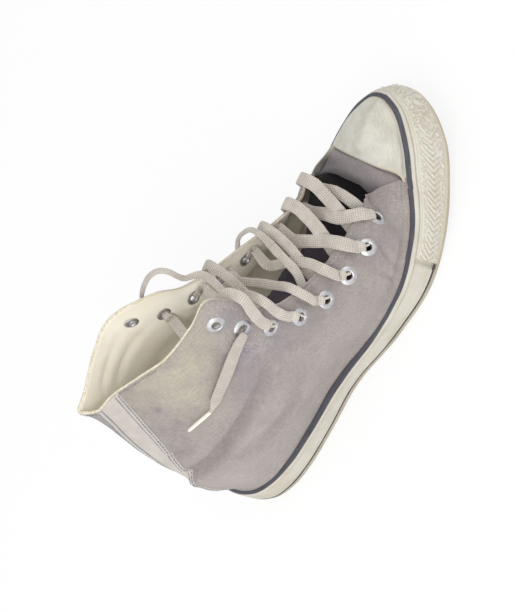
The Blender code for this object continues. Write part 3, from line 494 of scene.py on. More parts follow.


# folds and dents in the canvas: side, points of the valley with a strength, depth, half width,
# then the swell beside it: height, distance (plus is towards the collar), half width
folds = (
    (-1, ((14.4, -3.2, 74.6, 1.0), (30.2, -15.4, 79.3, 1.0), (49.8, -25.1, 85.3, 1.0),
          (69.4, -31.6, 89.9, 0.95), (88.4, -36.1, 95.4, 0.75), (106.0, -38.7, 101.0, 0.5),
          (121.6, -39.1, 106.9, 0.0)), 4.6, 3.4, 3.0, -7.2, 4.6),
    (-1, ((39.4, -27.6, 74.3, 0.1), (54.2, -35.0, 72.4, 0.7), (71.3, -39.8, 65.8, 1.0),
          (90.1, -41.4, 62.1, 0.8), (107.3, -41.9, 57.6, 0.0)), 2.3, 5.0, 1.2, -8.0, 6.0),
    (-1, ((205.0, -33.4, 63.0, 0.2), (200.9, -43.3, 57.3, 1.0), (197.0, -45.5, 47.0, 0.9),
          (194.4, -45.5, 37.1, 0.3)),
     1.3, 1.7, 0.6, 3.6, 2.4),
    (-1, ((190.0, -46.0, 60.0, 0.0), (187.5, -47.3, 48.0, 0.9), (185.5, -47.0, 36.0, 0.9),
          (184.8, -45.9, 29.5, 0.4)),
     1.1, 1.8, 0.5, 3.8, 2.6),
    (-1, ((21.0, 6.0, 92.5, 0.7), (27.5, 0.1, 91.6, 1.0), (34.0, -6.8, 91.0, 0.6), (42.0, -14.0, 91.0, 0.0)),
     1.7, 2.0, 0.7, 4.0, 3.0),
    (-1, ((129.0, -41.0, 101.0, 0.2), (133.0, -41.6, 88.0, 0.8), (134.0, -44.0, 74.0, 0.2)), 0.8, 5.0, 0.3,
     8.0, 6.0),
    (-1, ((122.0, -30.0, 151.0, 0.2), (112.0, -29.5, 141.0, 0.9), (105.0, -30.0, 128.0, 0.8),
          (98.0, -32.0, 114.0, 0.0)),
     1.2, 6.5, 0.6, 10.0, 7.0),
    (1, ((18.0, 27.0, 78.0, 1.0), (40.0, 37.5, 84.0, 1.0), (66.0, 40.5, 88.0, 0.8), (92.0, 39.0, 92.0, 0.4),
         (112.0, 34.0, 95.0, 0.0)), 2.8, 5.0, 1.6, 10.0, 7.5),
    (1, ((50.0, 38.5, 70.0, 0.2), (75.0, 39.0, 66.0, 1.0), (100.0, 39.0, 62.0, 0.2)), 1.4, 6.0, 0.7, 9.0,
     6.0),
    (1, ((92.4, 33.9, 135.3, 0.6), (80.0, 37.5, 133.0, 1.0), (66.0, 40.5, 131.0, 1.0),
         (52.0, 41.0, 127.0, 0.3)),
     -0.9, 3.0, -0.4, 6.5, 4.0),
    (1, ((85.0, 38.0, 147.0, 0.5), (66.0, 40.2, 144.0, 1.0), (52.0, 40.0, 140.0, 1.0),
         (42.0, 39.5, 132.0, 0.2)),
     -0.7, 2.6, -0.3, 5.5, 3.0),
    (1, ((193.0, 38.0, 58.0, 0.2), (190.0, 40.0, 48.0, 1.0), (187.0, 40.0, 37.0, 0.4)), 0.9, 2.2, 0.4, 4.5,
     3.0),
    (1, ((212.0, 37.0, 52.0, 0.2), (208.0, 39.5, 44.0, 1.0), (205.0, 40.0, 36.0, 0.4)), 0.8, 2.0, 0.3, 4.5,
     3.0),
)
ripple = {"wide": 0.55, "wideSize": 26.0, "small": 0.16, "smallSize": 8.0, "foldEnd": 7.0,
          "calmLevel": 0.16, "calmRib": 2.6, "ridgeLevel": 0.88}


def lineDistance(points, line):
    # distance to a line, the nearest point of it, its direction there and the share of its length before it
    lengths = np.linalg.norm(np.diff(line[:, :3], axis=0), axis=1)
    runs = np.r_[0, np.cumsum(lengths)]
    best, where = np.full(len(points), 1e9), np.zeros(len(points))
    spot, way = np.zeros((len(points), 3)), np.zeros((len(points), 3))
    for i, (a, b) in enumerate(zip(line[:-1, :3], line[1:, :3])):
        ab = b - a
        t = np.clip((points - a) @ ab / (ab @ ab), 0, 1)
        q = a + t[:, None] * ab
        d = np.linalg.norm(points - q, axis=1)
        closer = d < best
        best[closer], spot[closer], way[closer] = d[closer], q[closer], ab / lengths[i]
        where[closer] = (runs[i] + t * lengths[i])[closer]
    return best, spot, way, where / runs[-1]


def foldShape(side, points, normals):
    # how far the folds push the cloth out, and how deep in a valley each point is, for painted shade in the
    # valleys
    push, valley = np.zeros(len(points)), np.zeros(len(points))
    for foldSide, rows, depth, width, swell, swellAt, swellWidth in folds:
        if foldSide != side:
            continue
        rows = np.array(rows)
        run = runOf(rows[:, :3])
        line = hermite(run, rows, np.linspace(0, run[-1], 25))
        d, spot, way, where = lineDistance(points, line)
        strength = np.interp(where, np.linspace(0, 1, len(line)), np.clip(line[:, 3], 0, 1.2))
        across = unit(np.cross(normals, way))
        signed = np.einsum("ij,ij->i", points - spot, across) * -side
        past = np.sqrt(np.maximum(d**2 - signed**2, 0))
        strength = strength * bell(past, ripple["foldEnd"])
        push += strength * (swell * bell(signed - swellAt, swellWidth) - depth * bell(signed, width))
        valley += strength * bell(signed, width) * min(abs(depth) / 2.5, 1)
    for i, p in enumerate(points):
        push[i] += (ripple["wide"] * noise.noise(Vector(p / ripple["wideSize"]))
                    + ripple["small"] * noise.noise(Vector(p / ripple["smallSize"] + 31.7)))
    return push, valley


# eyelets from the toe up: outer side x, y, z and inner side x, y, z
eyeletPlaces = (
    ((216.6, -29.4, 55.8), (209.0, 30.5, 54.5)), ((198.2, -38.0, 63.5), (192.0, 28.0, 62.0)),
    ((178.8, -40.3, 72.1), (174.5, 25.5, 74.0)), ((161.2, -40.7, 81.8), (155.0, 24.0, 88.3)),
    ((147.2, -39.9, 96.9), (139.3, 24.0, 102.5)), ((136.6, -37.6, 115.8), (123.3, 26.3, 116.2)),
    ((131.5, -33.7, 136.0), (108.7, 29.4, 131.0)), ((128.6, -27.9, 152.7), (97.2, 33.8, 148.3)),
)
seatSize = {"flange": 5.7, "dimple": 9.5, "wall": 2.0, "fit": 6.0, "over": 0.15}
seats = {}
for number, pair in enumerate(eyeletPlaces, 1):
    for side, target in zip((-1, 1), pair):
        u, v = nearestOn(side, target, (5.0, 0.5), (lastRib[side] - 1.0, 0.985))
        centre = surfaceAt(side, u, v)[0]
        a, b = np.meshgrid(np.linspace(-1.2, 1.2, 25) + u, np.linspace(-0.2, 0.2, 25) + v)
        a, b = a.ravel(), b.ravel()
        keep = (b < 1) & (a > 5.02)
        cloth, ways = surfaceAt(side, a[keep], b[keep]), normalAt(side, a[keep], b[keep])
        near = np.linalg.norm(cloth - centre, axis=1) < seatSize["fit"]
        axis = np.linalg.svd(cloth[near] - cloth[near].mean(axis=0))[2][2]
        axis = axis * np.sign(axis @ ways[near].mean(axis=0))
        plane = float(np.median((cloth[near] - centre) @ axis)) + seatSize["over"]
        seats[side, number] = {"at": centre, "axis": axis, "plane": plane}
print("eyelet seats found")


def clothAt(side, u, v, lift=0.0):
    # the canvas as worn: folds, ripples, and flat round each eyelet
    u, v = np.atleast_1d(u).astype(float), np.atleast_1d(v).astype(float)
    p, n = surfaceAt(side, u, v), normalAt(side, u, v)
    onRidge = (u <= 5) & (v > ripple["ridgeLevel"])
    if onRidge.any():
        near = np.maximum(u[onRidge], 0.4)
        both = unit(normalAt(-1, near, 0 * near + 1) + normalAt(1, near, 0 * near + 1))
        share = smooth((v[onRidge] - ripple["ridgeLevel"]) / 0.12)[:, None]
        n[onRidge] = unit(n[onRidge] * (1 - share) + both * share)
    push, valley = foldShape(side, p, n)
    calm = smooth((v - ripple["calmLevel"]) / 0.12) * smooth((u - ripple["calmRib"]) / 1.2)
    q = p + n * (push * calm + lift)[:, None]
    for (seatSide, _), seat in seats.items():
        if seatSide != side:
            continue
        height = (q - seat["at"]) @ seat["axis"]
        flatWay = q - seat["at"] - height[:, None] * seat["axis"]
        reach = np.linalg.norm(flatWay, axis=1)
        share = 1 - smooth((reach - seatSize["flange"] - 0.2) / (seatSize["dimple"] - seatSize["flange"]))
        share = share * (np.abs(height) < seatSize["dimple"] - 0.5)
        q = q + seat["axis"] * ((seat["plane"] + lift - height) * share)[:, None]
    return q, n, valley * calm


def levelBelow(side, u, drop):
    # level of the cloth that lies drop millimetres under the free edge at rib u
    u = np.atleast_1d(u).astype(float)
    levels = np.linspace(1, 0.45, 60)
    grid = surfaceAt(side, np.repeat(u, len(levels)), np.tile(levels, len(u))).reshape(len(u), len(levels), 3)
    return np.array([np.interp(drop, run, levels) for run in climb(grid)])


def gridFaces(columns, rows, closed=False, flip=False):
    wrap = columns if closed else columns - 1
    i, j = np.meshgrid(np.arange(wrap), np.arange(rows - 1), indexing="ij")
    a, b = (i * rows + j).ravel(), (((i + 1) % columns) * rows + j).ravel()
    quads = np.c_[a, b, b + 1, a + 1]
    return (quads[:, ::-1] if flip else quads).tolist()


def tubeFaces(count, around):
    # rings of points joined into a tube and closed at both ends
    faces = []
    for i in range(count - 1):
        for k in range(around):
            here, ahead, turn = i * around, (i + 1) * around, (k + 1) % around
            faces.append((here + k, ahead + k, ahead + turn, here + turn))
    return faces + [tuple(range(around)), tuple((count - 1) * around + k for k in range(around))]


def clothGrid(runs, across):
    # cloth coordinates: a run for each column, and the grid's measure across it
    return np.stack([np.repeat(runs[:, None], across.shape[1], axis=1), across], axis=2).reshape(-1, 2)


def joinSides(outer, inner):
    # one sheet from the outer side over the ridge to the inner side
    inner[0] = outer[0]
    return np.concatenate([outer, inner[:, -2::-1]], axis=1)


def takeApart(shape):
    # points and faces of a small shape, which is then removed
    points = np.array([v.co for v in shape.data.vertices])
    faces = [tuple(p.vertices) for p in shape.data.polygons]
    bpy.data.objects.remove(shape)
    return points, faces


def makePiece(name, points, faces, look=None, flat=None, marks=None, weld=0.0):
    mesh = bpy.data.meshes.new(name)
    mesh.from_pydata(toRow(points).tolist(), [], faces)
    if flat is not None:
        layer = mesh.uv_layers.new(name="cloth")
        index = np.zeros(len(mesh.loops), int)
        mesh.loops.foreach_get("vertex_index", index)
        layer.data.foreach_set("uv", np.asarray(flat, float)[index].ravel())
    for key, values in (marks or {}).items():
        mesh.attributes.new(key, "FLOAT", "POINT").data.foreach_set("value", np.asarray(values, float))
    piece = bpy.data.objects.new(name, mesh)
    scene.collection.objects.link(piece)
    if weld:
        bm = bmesh.new()
        bm.from_mesh(mesh)
        bmesh.ops.remove_doubles(bm, verts=bm.verts, dist=weld * mm)
        if not any(e.is_boundary for e in bm.edges):
            bmesh.ops.recalc_face_normals(bm, faces=bm.faces)
            if bm.calc_volume(signed=True) < 0:
                bmesh.ops.reverse_faces(bm, faces=bm.faces)
        bm.to_mesh(mesh)
        bm.free()
    if look is not None:
        mesh.materials.append(look)
    mesh.polygons.foreach_set("use_smooth", [True] * len(mesh.polygons))
    return piece


def choose(piece):
    bpy.ops.object.select_all(action="DESELECT")
    piece.select_set(True)
    bpy.context.view_layer.objects.active = piece


def finish(piece, kind, **settings):
    # adds a modifier and applies it
    choose(piece)
    step = piece.modifiers.new("step", kind)
    for key, value in settings.items():
        setattr(step, key, value)
    bpy.ops.object.modifier_apply(modifier=step.name)


def keepPiece(piece, slot, *nodes, angle=None):
    if angle:
        choose(piece)
        bpy.ops.object.shade_smooth_by_angle(angle=math.radians(angle))
    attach(piece, "root")
    if nodes:
        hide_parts(*nodes)


def spots(points, rows):
    # 0 to 1 near the given spots: x, y, z, size, strength
    total = np.zeros(len(points))
    for x, y, z, size, strength in rows:
        d = np.linalg.norm(points - np.array([x, y, z]), axis=1)
        total = np.maximum(total, strength * bell(d, size))
    return total


def tints(colours):
    return {key: colour(*value) for key, value in colours.items()}


canvasColours = {
    "plain": (170, 160, 155), "bright": (180, 170, 163), "light": (194, 185, 177), "faded": (200, 193, 170),
    "violet": (150, 141, 152), "valley": (134, 124, 122), "shade": (62, 55, 58), "stain": (134, 124, 134),
    "rub": (205, 198, 190), "fleck": (120, 112, 116),
}
liningColours = {
    "plain": (246, 240, 224), "bright": (251, 247, 236), "edge": (214, 202, 174), "paintedShadow": (52, 46, 46),
    "valley": (205, 190, 160),
}
laceColours = {"plain": (201, 193, 183), "bright": (216, 209, 200), "gap": (142, 132, 121),
               "dark": (120, 112, 104)}


def canvasLook():
    look = Look("canvas", Roughness=0.92, Sheen_Weight=0.25, Sheen_Roughness=0.6, Specular_IOR_Level=0.2)
    tint = tints(canvasColours)
    flat, place = look.flat(), look.place()
    warp = look.clouds(look.scaled(flat, 1.7, 0.16), 1.0, 2.0)
    weft = look.clouds(look.scaled(flat, 0.16, 1.7), 1.0, 2.0)
    threads = (warp + weft) * 0.5
    mottle = look.clouds(place, 60.0, 4.0)
    fuzz = look.clouds(place, 900.0, 2.0)
    # two of these marks are painted shade: darker in the fold valleys, and dark on the vamp towards the
    # throat and under the toe cap's edge
    shares = {
        "light": look.mark("light") * 0.8, "faded": look.mark("faded") * look.step(mottle, 0.15, 0.6),
        "violet": look.mark("violet") * 0.85, "valley": look.mark("valley") * 0.3,
        "shade": look.mark("shade"),
        "stain": look.mark("stain") * look.step(fuzz, 0.2, 0.6),
        "rub": look.mark("rub") * look.step(threads, 0.35, 0.62),
    }
    base = look.mix(look.step(mottle, 0.35, 0.65), tint["plain"], tint["bright"])
    for key, share in shares.items():
        base = look.mix(share, base, tint[key])
    deep = look.mix(1.0, base, (0.72, 0.71, 0.74, 1), "MULTIPLY")
    base = look.mix(look.step(threads, 0.36, 0.64), deep, base)
    u, v = look.axis(flat, "X"), look.axis(flat, "Y")
    weave = (u * 8.4).maths("SINE") * (v * 8.4).maths("SINE")
    fleck = look.step(look.clouds(look.scaled(flat, 1.0, 1.0), 0.55, 1.0), 0.66, 0.74)
    base = look.mix(fleck * 0.35, base, tint["fleck"])
    height = weave * 0.35 + threads * 1.6 + fuzz * 0.5
    return look.wire(Base_Color=base, Normal=look.bump(height, 0.00042, 0.9))


def liningLook():
    look = Look("lining", Roughness=0.9, Sheen_Weight=0.15, Specular_IOR_Level=0.2)
    place, flat = look.place(), look.flat()
    mottle = look.clouds(place, 45.0, 4.0)
    threads = look.clouds(look.scaled(flat, 0.2, 2.2), 1.0, 2.0)
    tint = tints(liningColours)
    base = look.mix(look.step(mottle, 0.3, 0.7), tint["plain"], tint["bright"])
    # two of these marks are painted shade: near black deep in the throat, and darker in the fold valleys
    for key, share in (("edge", 0.3), ("paintedShadow", 1.0), ("valley", 0.3)):
        base = look.mix(look.mark(key) * share, base, tint[key])
    return look.wire(Base_Color=base, Normal=look.bump(threads + mottle, 0.0002, 0.6))


def rubberLook(name, plain, stained, edged, shine=0.55, streak=0.02, dustAndShade=(178, 170, 150)):
    # aged rubber: streaks along it, yellow edges, grime in the hollows, which on the toe bumper is also
    # painted shade in the relief
    look = Look(name, Specular_IOR_Level=0.35)
    place, flat = look.place(), look.flat()
    streaks = look.clouds(look.scaled(flat, streak, 0.6), 3.0, 4.0)
    mottle = look.clouds(place, 70.0, 5.0)
    fine = look.clouds(place, 700.0, 3.0)
    base = look.mix(look.step(streaks * 0.5 + mottle * 0.5, 0.38, 0.66), colour(*plain), colour(*stained))
    base = look.mix(look.mark("edge") * 0.75, base, colour(*edged))
    base = look.mix(look.mark("hollow") * 0.55, base, colour(*dustAndShade))
    base = look.mix(look.step(fine * 0.5 + mottle * 0.5, 0.6, 0.72) * 0.3, base, colour(*dustAndShade))
    return look.wire(Base_Color=base, Roughness=look.step(mottle, 0.2, 0.8) * 0.2 + shine,
                     Normal=look.bump(fine + mottle * 0.6, 0.00012, 0.5))


def stripeLook(name, dark, light):
    look = Look(name, Specular_IOR_Level=0.35)
    place, flat = look.place(), look.flat()
    mottle = look.clouds(look.scaled(flat, 0.03, 0.5), 3.0, 4.0)
    fine = look.clouds(place, 500.0, 3.0)
    base = look.mix(look.step(mottle, 0.3, 0.7), colour(*dark), colour(*light))
    base = look.mix(look.mark("edge") * look.step(fine, 0.25, 0.6), base, colour(178, 150, 118))
    base = look.mix(look.step(fine, 0.62, 0.75) * 0.35, base, colour(150, 148, 148))
    return look.wire(Base_Color=base, Roughness=fine * 0.15 + 0.5, Normal=look.bump(fine, 0.0001, 0.4))


def laceLook():
    look = Look("lace", Roughness=0.9, Sheen_Weight=0.2, Specular_IOR_Level=0.2)
    flat, place = look.flat(), look.place()
    s, x = look.axis(flat, "X"), look.axis(flat, "Y")
    tread = (s * 2.2 + x * 2.7).maths("SINE") * (s * 2.2 - x * 2.7).maths("SINE")
    tone = look.clouds(place, 130.0, 3.0)
    tint = tints(laceColours)
    base = look.mix(look.step(tone, 0.3, 0.7), tint["plain"], tint["bright"])
    base = look.mix(look.step(tread, -0.1, 0.8) * 0.6, base, tint["gap"])
    base = look.mix(look.mark("dark") * 0.7, base, tint["dark"])
    return look.wire(Base_Color=base,
                     Normal=look.bump(tread * -0.8 + look.clouds(place, 1500.0, 1.0) * 0.4, 0.00035, 0.8))


def metalLook():
    look = Look("eyelet metal", Metallic=1.0)
    place = look.place()
    grime = look.clouds(place, 420.0, 4.0)
    base = look.mix(look.step(grime, 0.4, 0.7) * 0.5, colour(196, 196, 198), colour(150, 148, 148))
    return look.wire(Base_Color=base, Roughness=look.step(grime, 0.3, 0.8) * 0.25 + 0.34,
                     Normal=look.bump(grime, 0.00008, 0.3))


def clothLook(name, dark, light, rough=0.9, grain=1.0, size=90.0, paintedShadow=None):
    look = Look(name, Roughness=rough, Sheen_Weight=0.2, Specular_IOR_Level=0.2)
    place = look.place()
    mottle = look.clouds(place, size, 4.0)
    fuzz = look.clouds(place, 1400.0, 2.0)
    base = look.mix(look.step(mottle * 0.6 + fuzz * 0.4, 0.35, 0.65), colour(*dark), colour(*light))
    # a mark that paints the cloth near black as shadow
    if paintedShadow:
        base = look.mix(look.mark("paintedShadow"), base, colour(*paintedShadow))
    return look.wire(Base_Color=base, Normal=look.bump(fuzz + mottle, 0.0002 * grain, 0.7))


def edgeLook(name, dark, light):
    # frayed cream edge, plain canvas along the throat
    look = Look(name, Roughness=0.9, Sheen_Weight=0.2, Specular_IOR_Level=0.2)
    place = look.place()
    fray = look.clouds(place, 520.0, 4.0)
    base = look.mix(look.step(fray, 0.35, 0.65), colour(*dark), colour(*light))
    base = look.mix(look.mark("plain"), base, colour(172, 163, 155))
    return look.wire(Base_Color=base, Normal=look.bump(fray, 0.0003, 0.8))


canvas, lining = canvasLook(), liningLook()
capRubber = rubberLook("toe cap rubber", (205, 203, 194), (181, 177, 163), (186, 170, 140), 0.42, 0.12)
sideRubber = rubberLook("side rubber", (206, 202, 191), (191, 185, 171), (170, 156, 132), 0.5)
bumperRubber = rubberLook("bumper rubber", (211, 208, 198), (202, 196, 181), (198, 188, 163), 0.6, 0.08,
                          (172, 162, 140))
soleRubber = rubberLook("sole rubber", (190, 182, 164), (172, 162, 142), (140, 128, 108), 0.6)
stripe = stripeLook("stripe", (58, 59, 67), (80, 81, 89))
pinStripe = stripeLook("pinstripe", (48, 46, 52), (76, 74, 78))
laceWeave, metal = laceLook(), metalLook()
# the tongue: its own darker, less faded canvas, darkened further as painted shade for lying deep in the
# throat
darkCloth = clothLook("tongue cloth", (58, 51, 59), (84, 76, 84), paintedShadow=(22, 18, 21))
boardCloth = clothLook("insole cloth", (218, 211, 190), (232, 226, 208))
threadPale = clothLook("pale thread", (186, 180, 176), (206, 200, 194), size=300.0)
threadBlue = clothLook("blue grey thread", (96, 108, 121), (130, 140, 150), size=300.0)
stripCloth = clothLook("heel strip canvas", (182, 174, 167), (196, 189, 181))
edgeCloth = edgeLook("collar edge", (206, 196, 168), (230, 224, 206))
threadDark = clothLook("dark thread", (84, 92, 104), (108, 114, 122), size=300.0)
tipPlastic = clothLook("lace tip", (226, 220, 204), (240, 236, 224), rough=0.4, grain=0.3)
print("materials made")


# upper: outer and inner side in one sheet of canvas, walled inwards, lined
quarter = {
    "outerColumns": 215, "innerColumns": 165, "rows": 74, "step": 1.25, "tall": 60.0, "wall": 2.0,
    "holes": 3.3, "frontLift": 0.55, "hemLift": 0.25, "overSole": 1.9, "curl": 3.0, "thinEdge": 0.5,
    "thinOver": 5.0,
    # front edge: level, rib
    "outerFront": ((0.0, 2.55), (0.17, 2.87), (0.44, 3.2), (0.66, 3.81), (0.81, 4.49), (0.93, 5.25),
                   (1.0, 5.98)),
    "innerFront": ((0.0, 2.65), (0.17, 2.9), (0.3, 3.0), (0.35, 3.72), (0.45, 4.58), (0.7, 5.4), (0.9, 5.95),
                   (1.0, 5.98)),
    # x, y, z, size, strength
    "faded": ((91.0, -14.0, 146.0, 26.0, 0.95), (109.0, -22.0, 149.0, 20.0, 0.8),
              (69.0, 2.0, 143.0, 24.0, 0.85), (78.0, -12.0, 128.0, 20.0, 0.8),
              (125.0, -27.0, 158.0, 14.0, 0.55), (60.0, -4.0, 120.0, 14.0, 0.4),
              (80.0, 42.0, 145.0, 30.0, 0.4)),
    "violet": ((118.8, -35.0, 126.0, 13.0, 0.9), (133.0, -29.0, 150.0, 10.0, 0.8),
               (128.0, -39.0, 112.0, 13.0, 0.6), (108.0, -33.0, 118.0, 13.0, 0.6),
               (96.0, -34.0, 104.0, 12.0, 0.5), (84.0, -34.0, 98.0, 10.0, 0.35),
               (140.0, -40.0, 100.0, 14.0, 0.35), (205.0, -40.0, 58.0, 14.0, 0.3)),
    "light": ((25.0, -26.0, 54.0, 24.0, 0.8), (54.0, -36.0, 45.0, 26.0, 0.7), (60.0, -34.0, 76.0, 14.0, 0.8),
              (86.0, -40.0, 76.0, 14.0, 0.6), (150.0, -46.0, 45.0, 40.0, 0.35),
              (195.0, -44.0, 42.0, 26.0, 0.35), (214.0, -36.0, 44.0, 14.0, 0.4),
              (100.0, -42.0, 45.0, 26.0, 0.35)),
    "stain": ((55.2, 2.8, 126.3, 3.2, 0.9), (51.0, -5.0, 112.5, 2.8, 0.7), (44.0, -4.0, 110.0, 2.2, 0.5),
              (112.5, -21.0, 160.0, 1.3, 0.9), (66.0, -18.0, 104.0, 2.0, 0.4), (120.0, -40.0, 84.0, 1.4, 0.5),
              (62.0, 10.0, 150.0, 3.0, 0.35)),
    # painted shadow on the lining deep in the throat, beside the tongue
    "paintedShadow": ((224.0, 26.0, 52.0, 13.0, 1.0), (214.0, 28.0, 50.0, 11.0, 1.0), (205.0, 30.0, 48.0, 9.0, 0.9),
              (226.0, 33.0, 40.0, 13.0, 1.0), (212.0, 36.0, 37.0, 13.0, 1.0), (200.0, 36.0, 42.0, 9.0, 0.8)),
    "rub": ((119.0, -31.0, 134.0, 9.0, 0.45), (126.0, -37.0, 119.0, 9.0, 0.45),
            (137.0, -28.0, 158.0, 6.0, 0.4), (226.0, -31.0, 42.0, 7.0, 0.4), (206.0, -27.0, 65.0, 5.0, 0.35),
            (188.0, -32.0, 73.0, 5.0, 0.3)),
}


def frontRib(side, levels):
    # rib of the quarter's front edge at each level
    front = np.array(quarter["outerFront" if side < 0 else "innerFront"])
    return hermite(front[:, 0], front[:, 1:], levels)[:, 0]


def quarterColumns(side, count, levels):
    # ribs of each column and level, even steps from the front edge to the back of the heel
    fine = np.linspace(2.5, lastRib[side], 700)
    run = runOf(surfaceAt(side, fine, 0 * fine + 0.5))
    begin = np.interp(frontRib(side, levels), fine, run)
    share = np.linspace(0, 1, count)
    return np.array([np.interp(begin + (run[-1] - begin) * s, run, fine) for s in share])


levels = np.r_[0.03, 0.1, np.linspace(0.165, 1, quarter["rows"] - 2)]
spotted = ("faded", "violet", "light", "stain", "rub", "paintedShadow")
parts, marks = [], {key: [] for key in spotted + ("valley", "edge")}
for side, count in ((-1, quarter["outerColumns"]), (1, quarter["innerColumns"])):
    us = quarterColumns(side, count, levels)
    vs = np.tile(levels, (count, 1))
    fromEdge = np.arange(count)[:, None] * quarter["step"]
    drop = (1 - vs) * quarter["tall"]
    lift = quarter["frontLift"] * bell(fromEdge, 2.2) * np.ones_like(vs)
    lift = lift + quarter["hemLift"] * bell(drop, 2.0) + quarter["overSole"] * bell(vs - 0.17, 0.04)
    if side > 0:  # the inner flap's front edge stands away
        lift = lift + quarter["curl"] * np.exp(-((vs - 0.42) / 0.13) ** 2 - (fromEdge / 8) ** 2)
    cloth, ways, valley = clothAt(side, us.ravel(), vs.ravel())
    cloth = cloth + ways * lift.ravel()[:, None]
    block = cloth.reshape(count, len(levels), 3)
    shares = {key: spots(cloth, quarter[key]) for key in spotted}
    # the valley depth is painted as shade on the canvas and lining
    shares["valley"], shares["edge"] = valley, bell(drop.ravel(), 3.0)
    order = slice(None) if side < 0 else slice(-2, None, -1)
    parts.append(block[order])
    for key, values in shares.items():
        marks[key].append(values.reshape(count, len(levels))[order])
points = np.concatenate(parts)
columns = len(points)
flat = clothGrid(runOf(points[:, 30]), climb(points))
faces = np.array(gridFaces(columns, len(levels), flip=True))
flatPoints = points.reshape(-1, 3)
centres = flatPoints[faces].mean(axis=1)
keep = np.ones(len(faces), bool)
for seat in seats.values():
    rel = centres - seat["at"]
    height = rel @ seat["axis"]
    across = np.linalg.norm(rel - height[:, None] * seat["axis"], axis=1)
    keep &= ~((np.abs(height) < seatSize["fit"]) & (across < quarter["holes"]))
upper = makePiece("upper_canvas", flatPoints, faces[keep].tolist(), canvas, flat,
                  {k: np.concatenate(v).ravel() for k, v in marks.items()})
upper.data.materials.append(lining)
thin = upper.vertex_groups.new(name="wall")
rowIndex = np.arange(len(flatPoints)) // len(levels)
fromFront = np.minimum(rowIndex, columns - 1 - rowIndex)
for index, step in enumerate(fromFront):
    share = quarter["thinEdge"] + (1 - quarter["thinEdge"]) * smooth(step / quarter["thinOver"])
    thin.add([index], float(share), "REPLACE")
finish(upper, "SOLIDIFY", thickness=quarter["wall"] * mm, offset=-1.0, use_rim=True, material_offset=1,
       vertex_group="wall", thickness_vertex_group=0.0)
keepPiece(upper, "upper", "upper")
print("upper canvas:", len(upper.data.polygons), "faces")

flatter = {"most": 2.9, "at": 1.3, "over": 1.05}


def sunk(side, us, vs):
    # the inner side of the toe lies flatter than the last
    rows = smooth((vs - 0.15) / 0.35) * smooth((1 - vs) / 0.62)
    return flatter["most"] * bell(us - flatter["at"], flatter["over"]) * rows * (side > 0)


cap = {"columns": 90, "half": 46, "end": 3.0, "low": 0.12, "out": 2.1, "edge": 0.9, "roll": 1.4, "wall": 1.2,
       "perRib": 8.6, "wobble": 0.22, "fine": 0.05}

# vamp: the canvas under the toe cap and the front edges of the quarters
vamp = {"columns": 84, "half": 40, "long": 60.0, "under": 0.55, "wall": 1.3, "dip": 0.9, "dipFrom": 3.2,
        "rearDark": 0.95, "darkFrom": 0.74, "darkOver": 0.26, "capEdgeShade": 0.6, "sideDark": 0.2,
        "innerDark": 0.6,
        # rear edge: level, rib
        "rear": ((0.0, 5.2), (0.5, 5.0), (0.62, 4.75), (0.7, 4.55), (0.8, 4.6), (0.9, 4.8), (1.0, 4.95))}
rear = np.array(vamp["rear"])
vs = np.linspace(0.05, 1, vamp["half"])
ends = hermite(rear[:, 0], rear[:, 1:], vs)[:, 0]
share = np.linspace(0, 1, vamp["columns"])
us, allVs = share[:, None] * ends[None, :], np.tile(vs, len(share))
blocks, shades = [], []
for side in (-1, 1):
    cloth, ways, _ = clothAt(side, us.ravel(), allVs)
    dip = vamp["dip"] * smooth((us.ravel() - vamp["dipFrom"]) / 1.5)
    cloth = cloth - ways * (vamp["under"] + dip + sunk(side, us.ravel(), allVs))[:, None]
    blocks.append(cloth.reshape(*us.shape, 3))
    # painted shade on the vamp: darker towards its rear edge where it goes under the laces, behind the toe
    # cap on the inner side and along the ridge, and a thin painted shadow line under the cap's rear edge
    rearward = 0 * us + vamp["rearDark"] * smooth((share[:, None] - vamp["darkFrom"]) / vamp["darkOver"])
    inward = vamp["sideDark"] * smooth((vs[None, :] - 0.7) / 0.3)
    if side > 0:
        inward = vamp["sideDark"] + vamp["innerDark"] * smooth((1 - vs[None, :]) / 0.6)
    capEdgeShadow = vamp["capEdgeShade"] * bell(us - cap["end"] - 0.05, 0.08)
    shades.append(np.maximum(np.maximum(rearward, capEdgeShadow), inward * smooth((us - cap["end"]) / 0.9)))
points, shade = joinSides(*blocks), joinSides(*shades)
cover = makePiece("vamp_canvas", points.reshape(-1, 3), gridFaces(*points.shape[:2], flip=True), canvas,
                  clothGrid(share * vamp["long"], climb(points)),
                  {"shade": shade.ravel(), "violet": np.full(shade.size, 0.3)}, weld=0.02)
cover.data.materials.append(lining)
finish(cover, "SOLIDIFY", thickness=vamp["wall"] * mm, offset=-1.0, use_rim=True, material_offset=1)
keepPiece(cover, "upper")
print("vamp:", len(cover.data.polygons), "faces")

# toe cap: moulded rubber over the vamp, its rear edge rolled
us = cap["end"] * (1 - (1 - np.linspace(0, 1, cap["columns"])) ** 1.25)
vs = np.linspace(cap["low"], 1, cap["half"])
toEdge = (cap["end"] - us) * cap["perRib"]
a, b = np.repeat(us, len(vs)), np.tile(vs, len(us))
blocks, edges = [], []
for side in (-1, 1):
    base, ways = surfaceAt(side, a, b), clothAt(side, a, b)[1]
    rolled = 1 - np.sqrt(1 - np.clip(1 - toEdge / cap["roll"], 0, 1) ** 2)
    lift = cap["out"] - (cap["out"] - cap["edge"]) * rolled
    wobble = np.array([cap["wobble"] * noise.noise(Vector(p / 17.0))
                       + cap["fine"] * noise.noise(Vector(p / 6.0))
                       for p in base])
    out = base + ways * (np.repeat(lift, len(vs)) + wobble - sunk(side, a, b))[:, None]
    blocks.append(out.reshape(len(us), len(vs), 3))
    edge = 0.9 * bell(b - 0.19, 0.014) + 0.8 * bell(np.repeat(toEdge, len(vs)), 0.8)
    edges.append(edge.reshape(len(us), len(vs)))
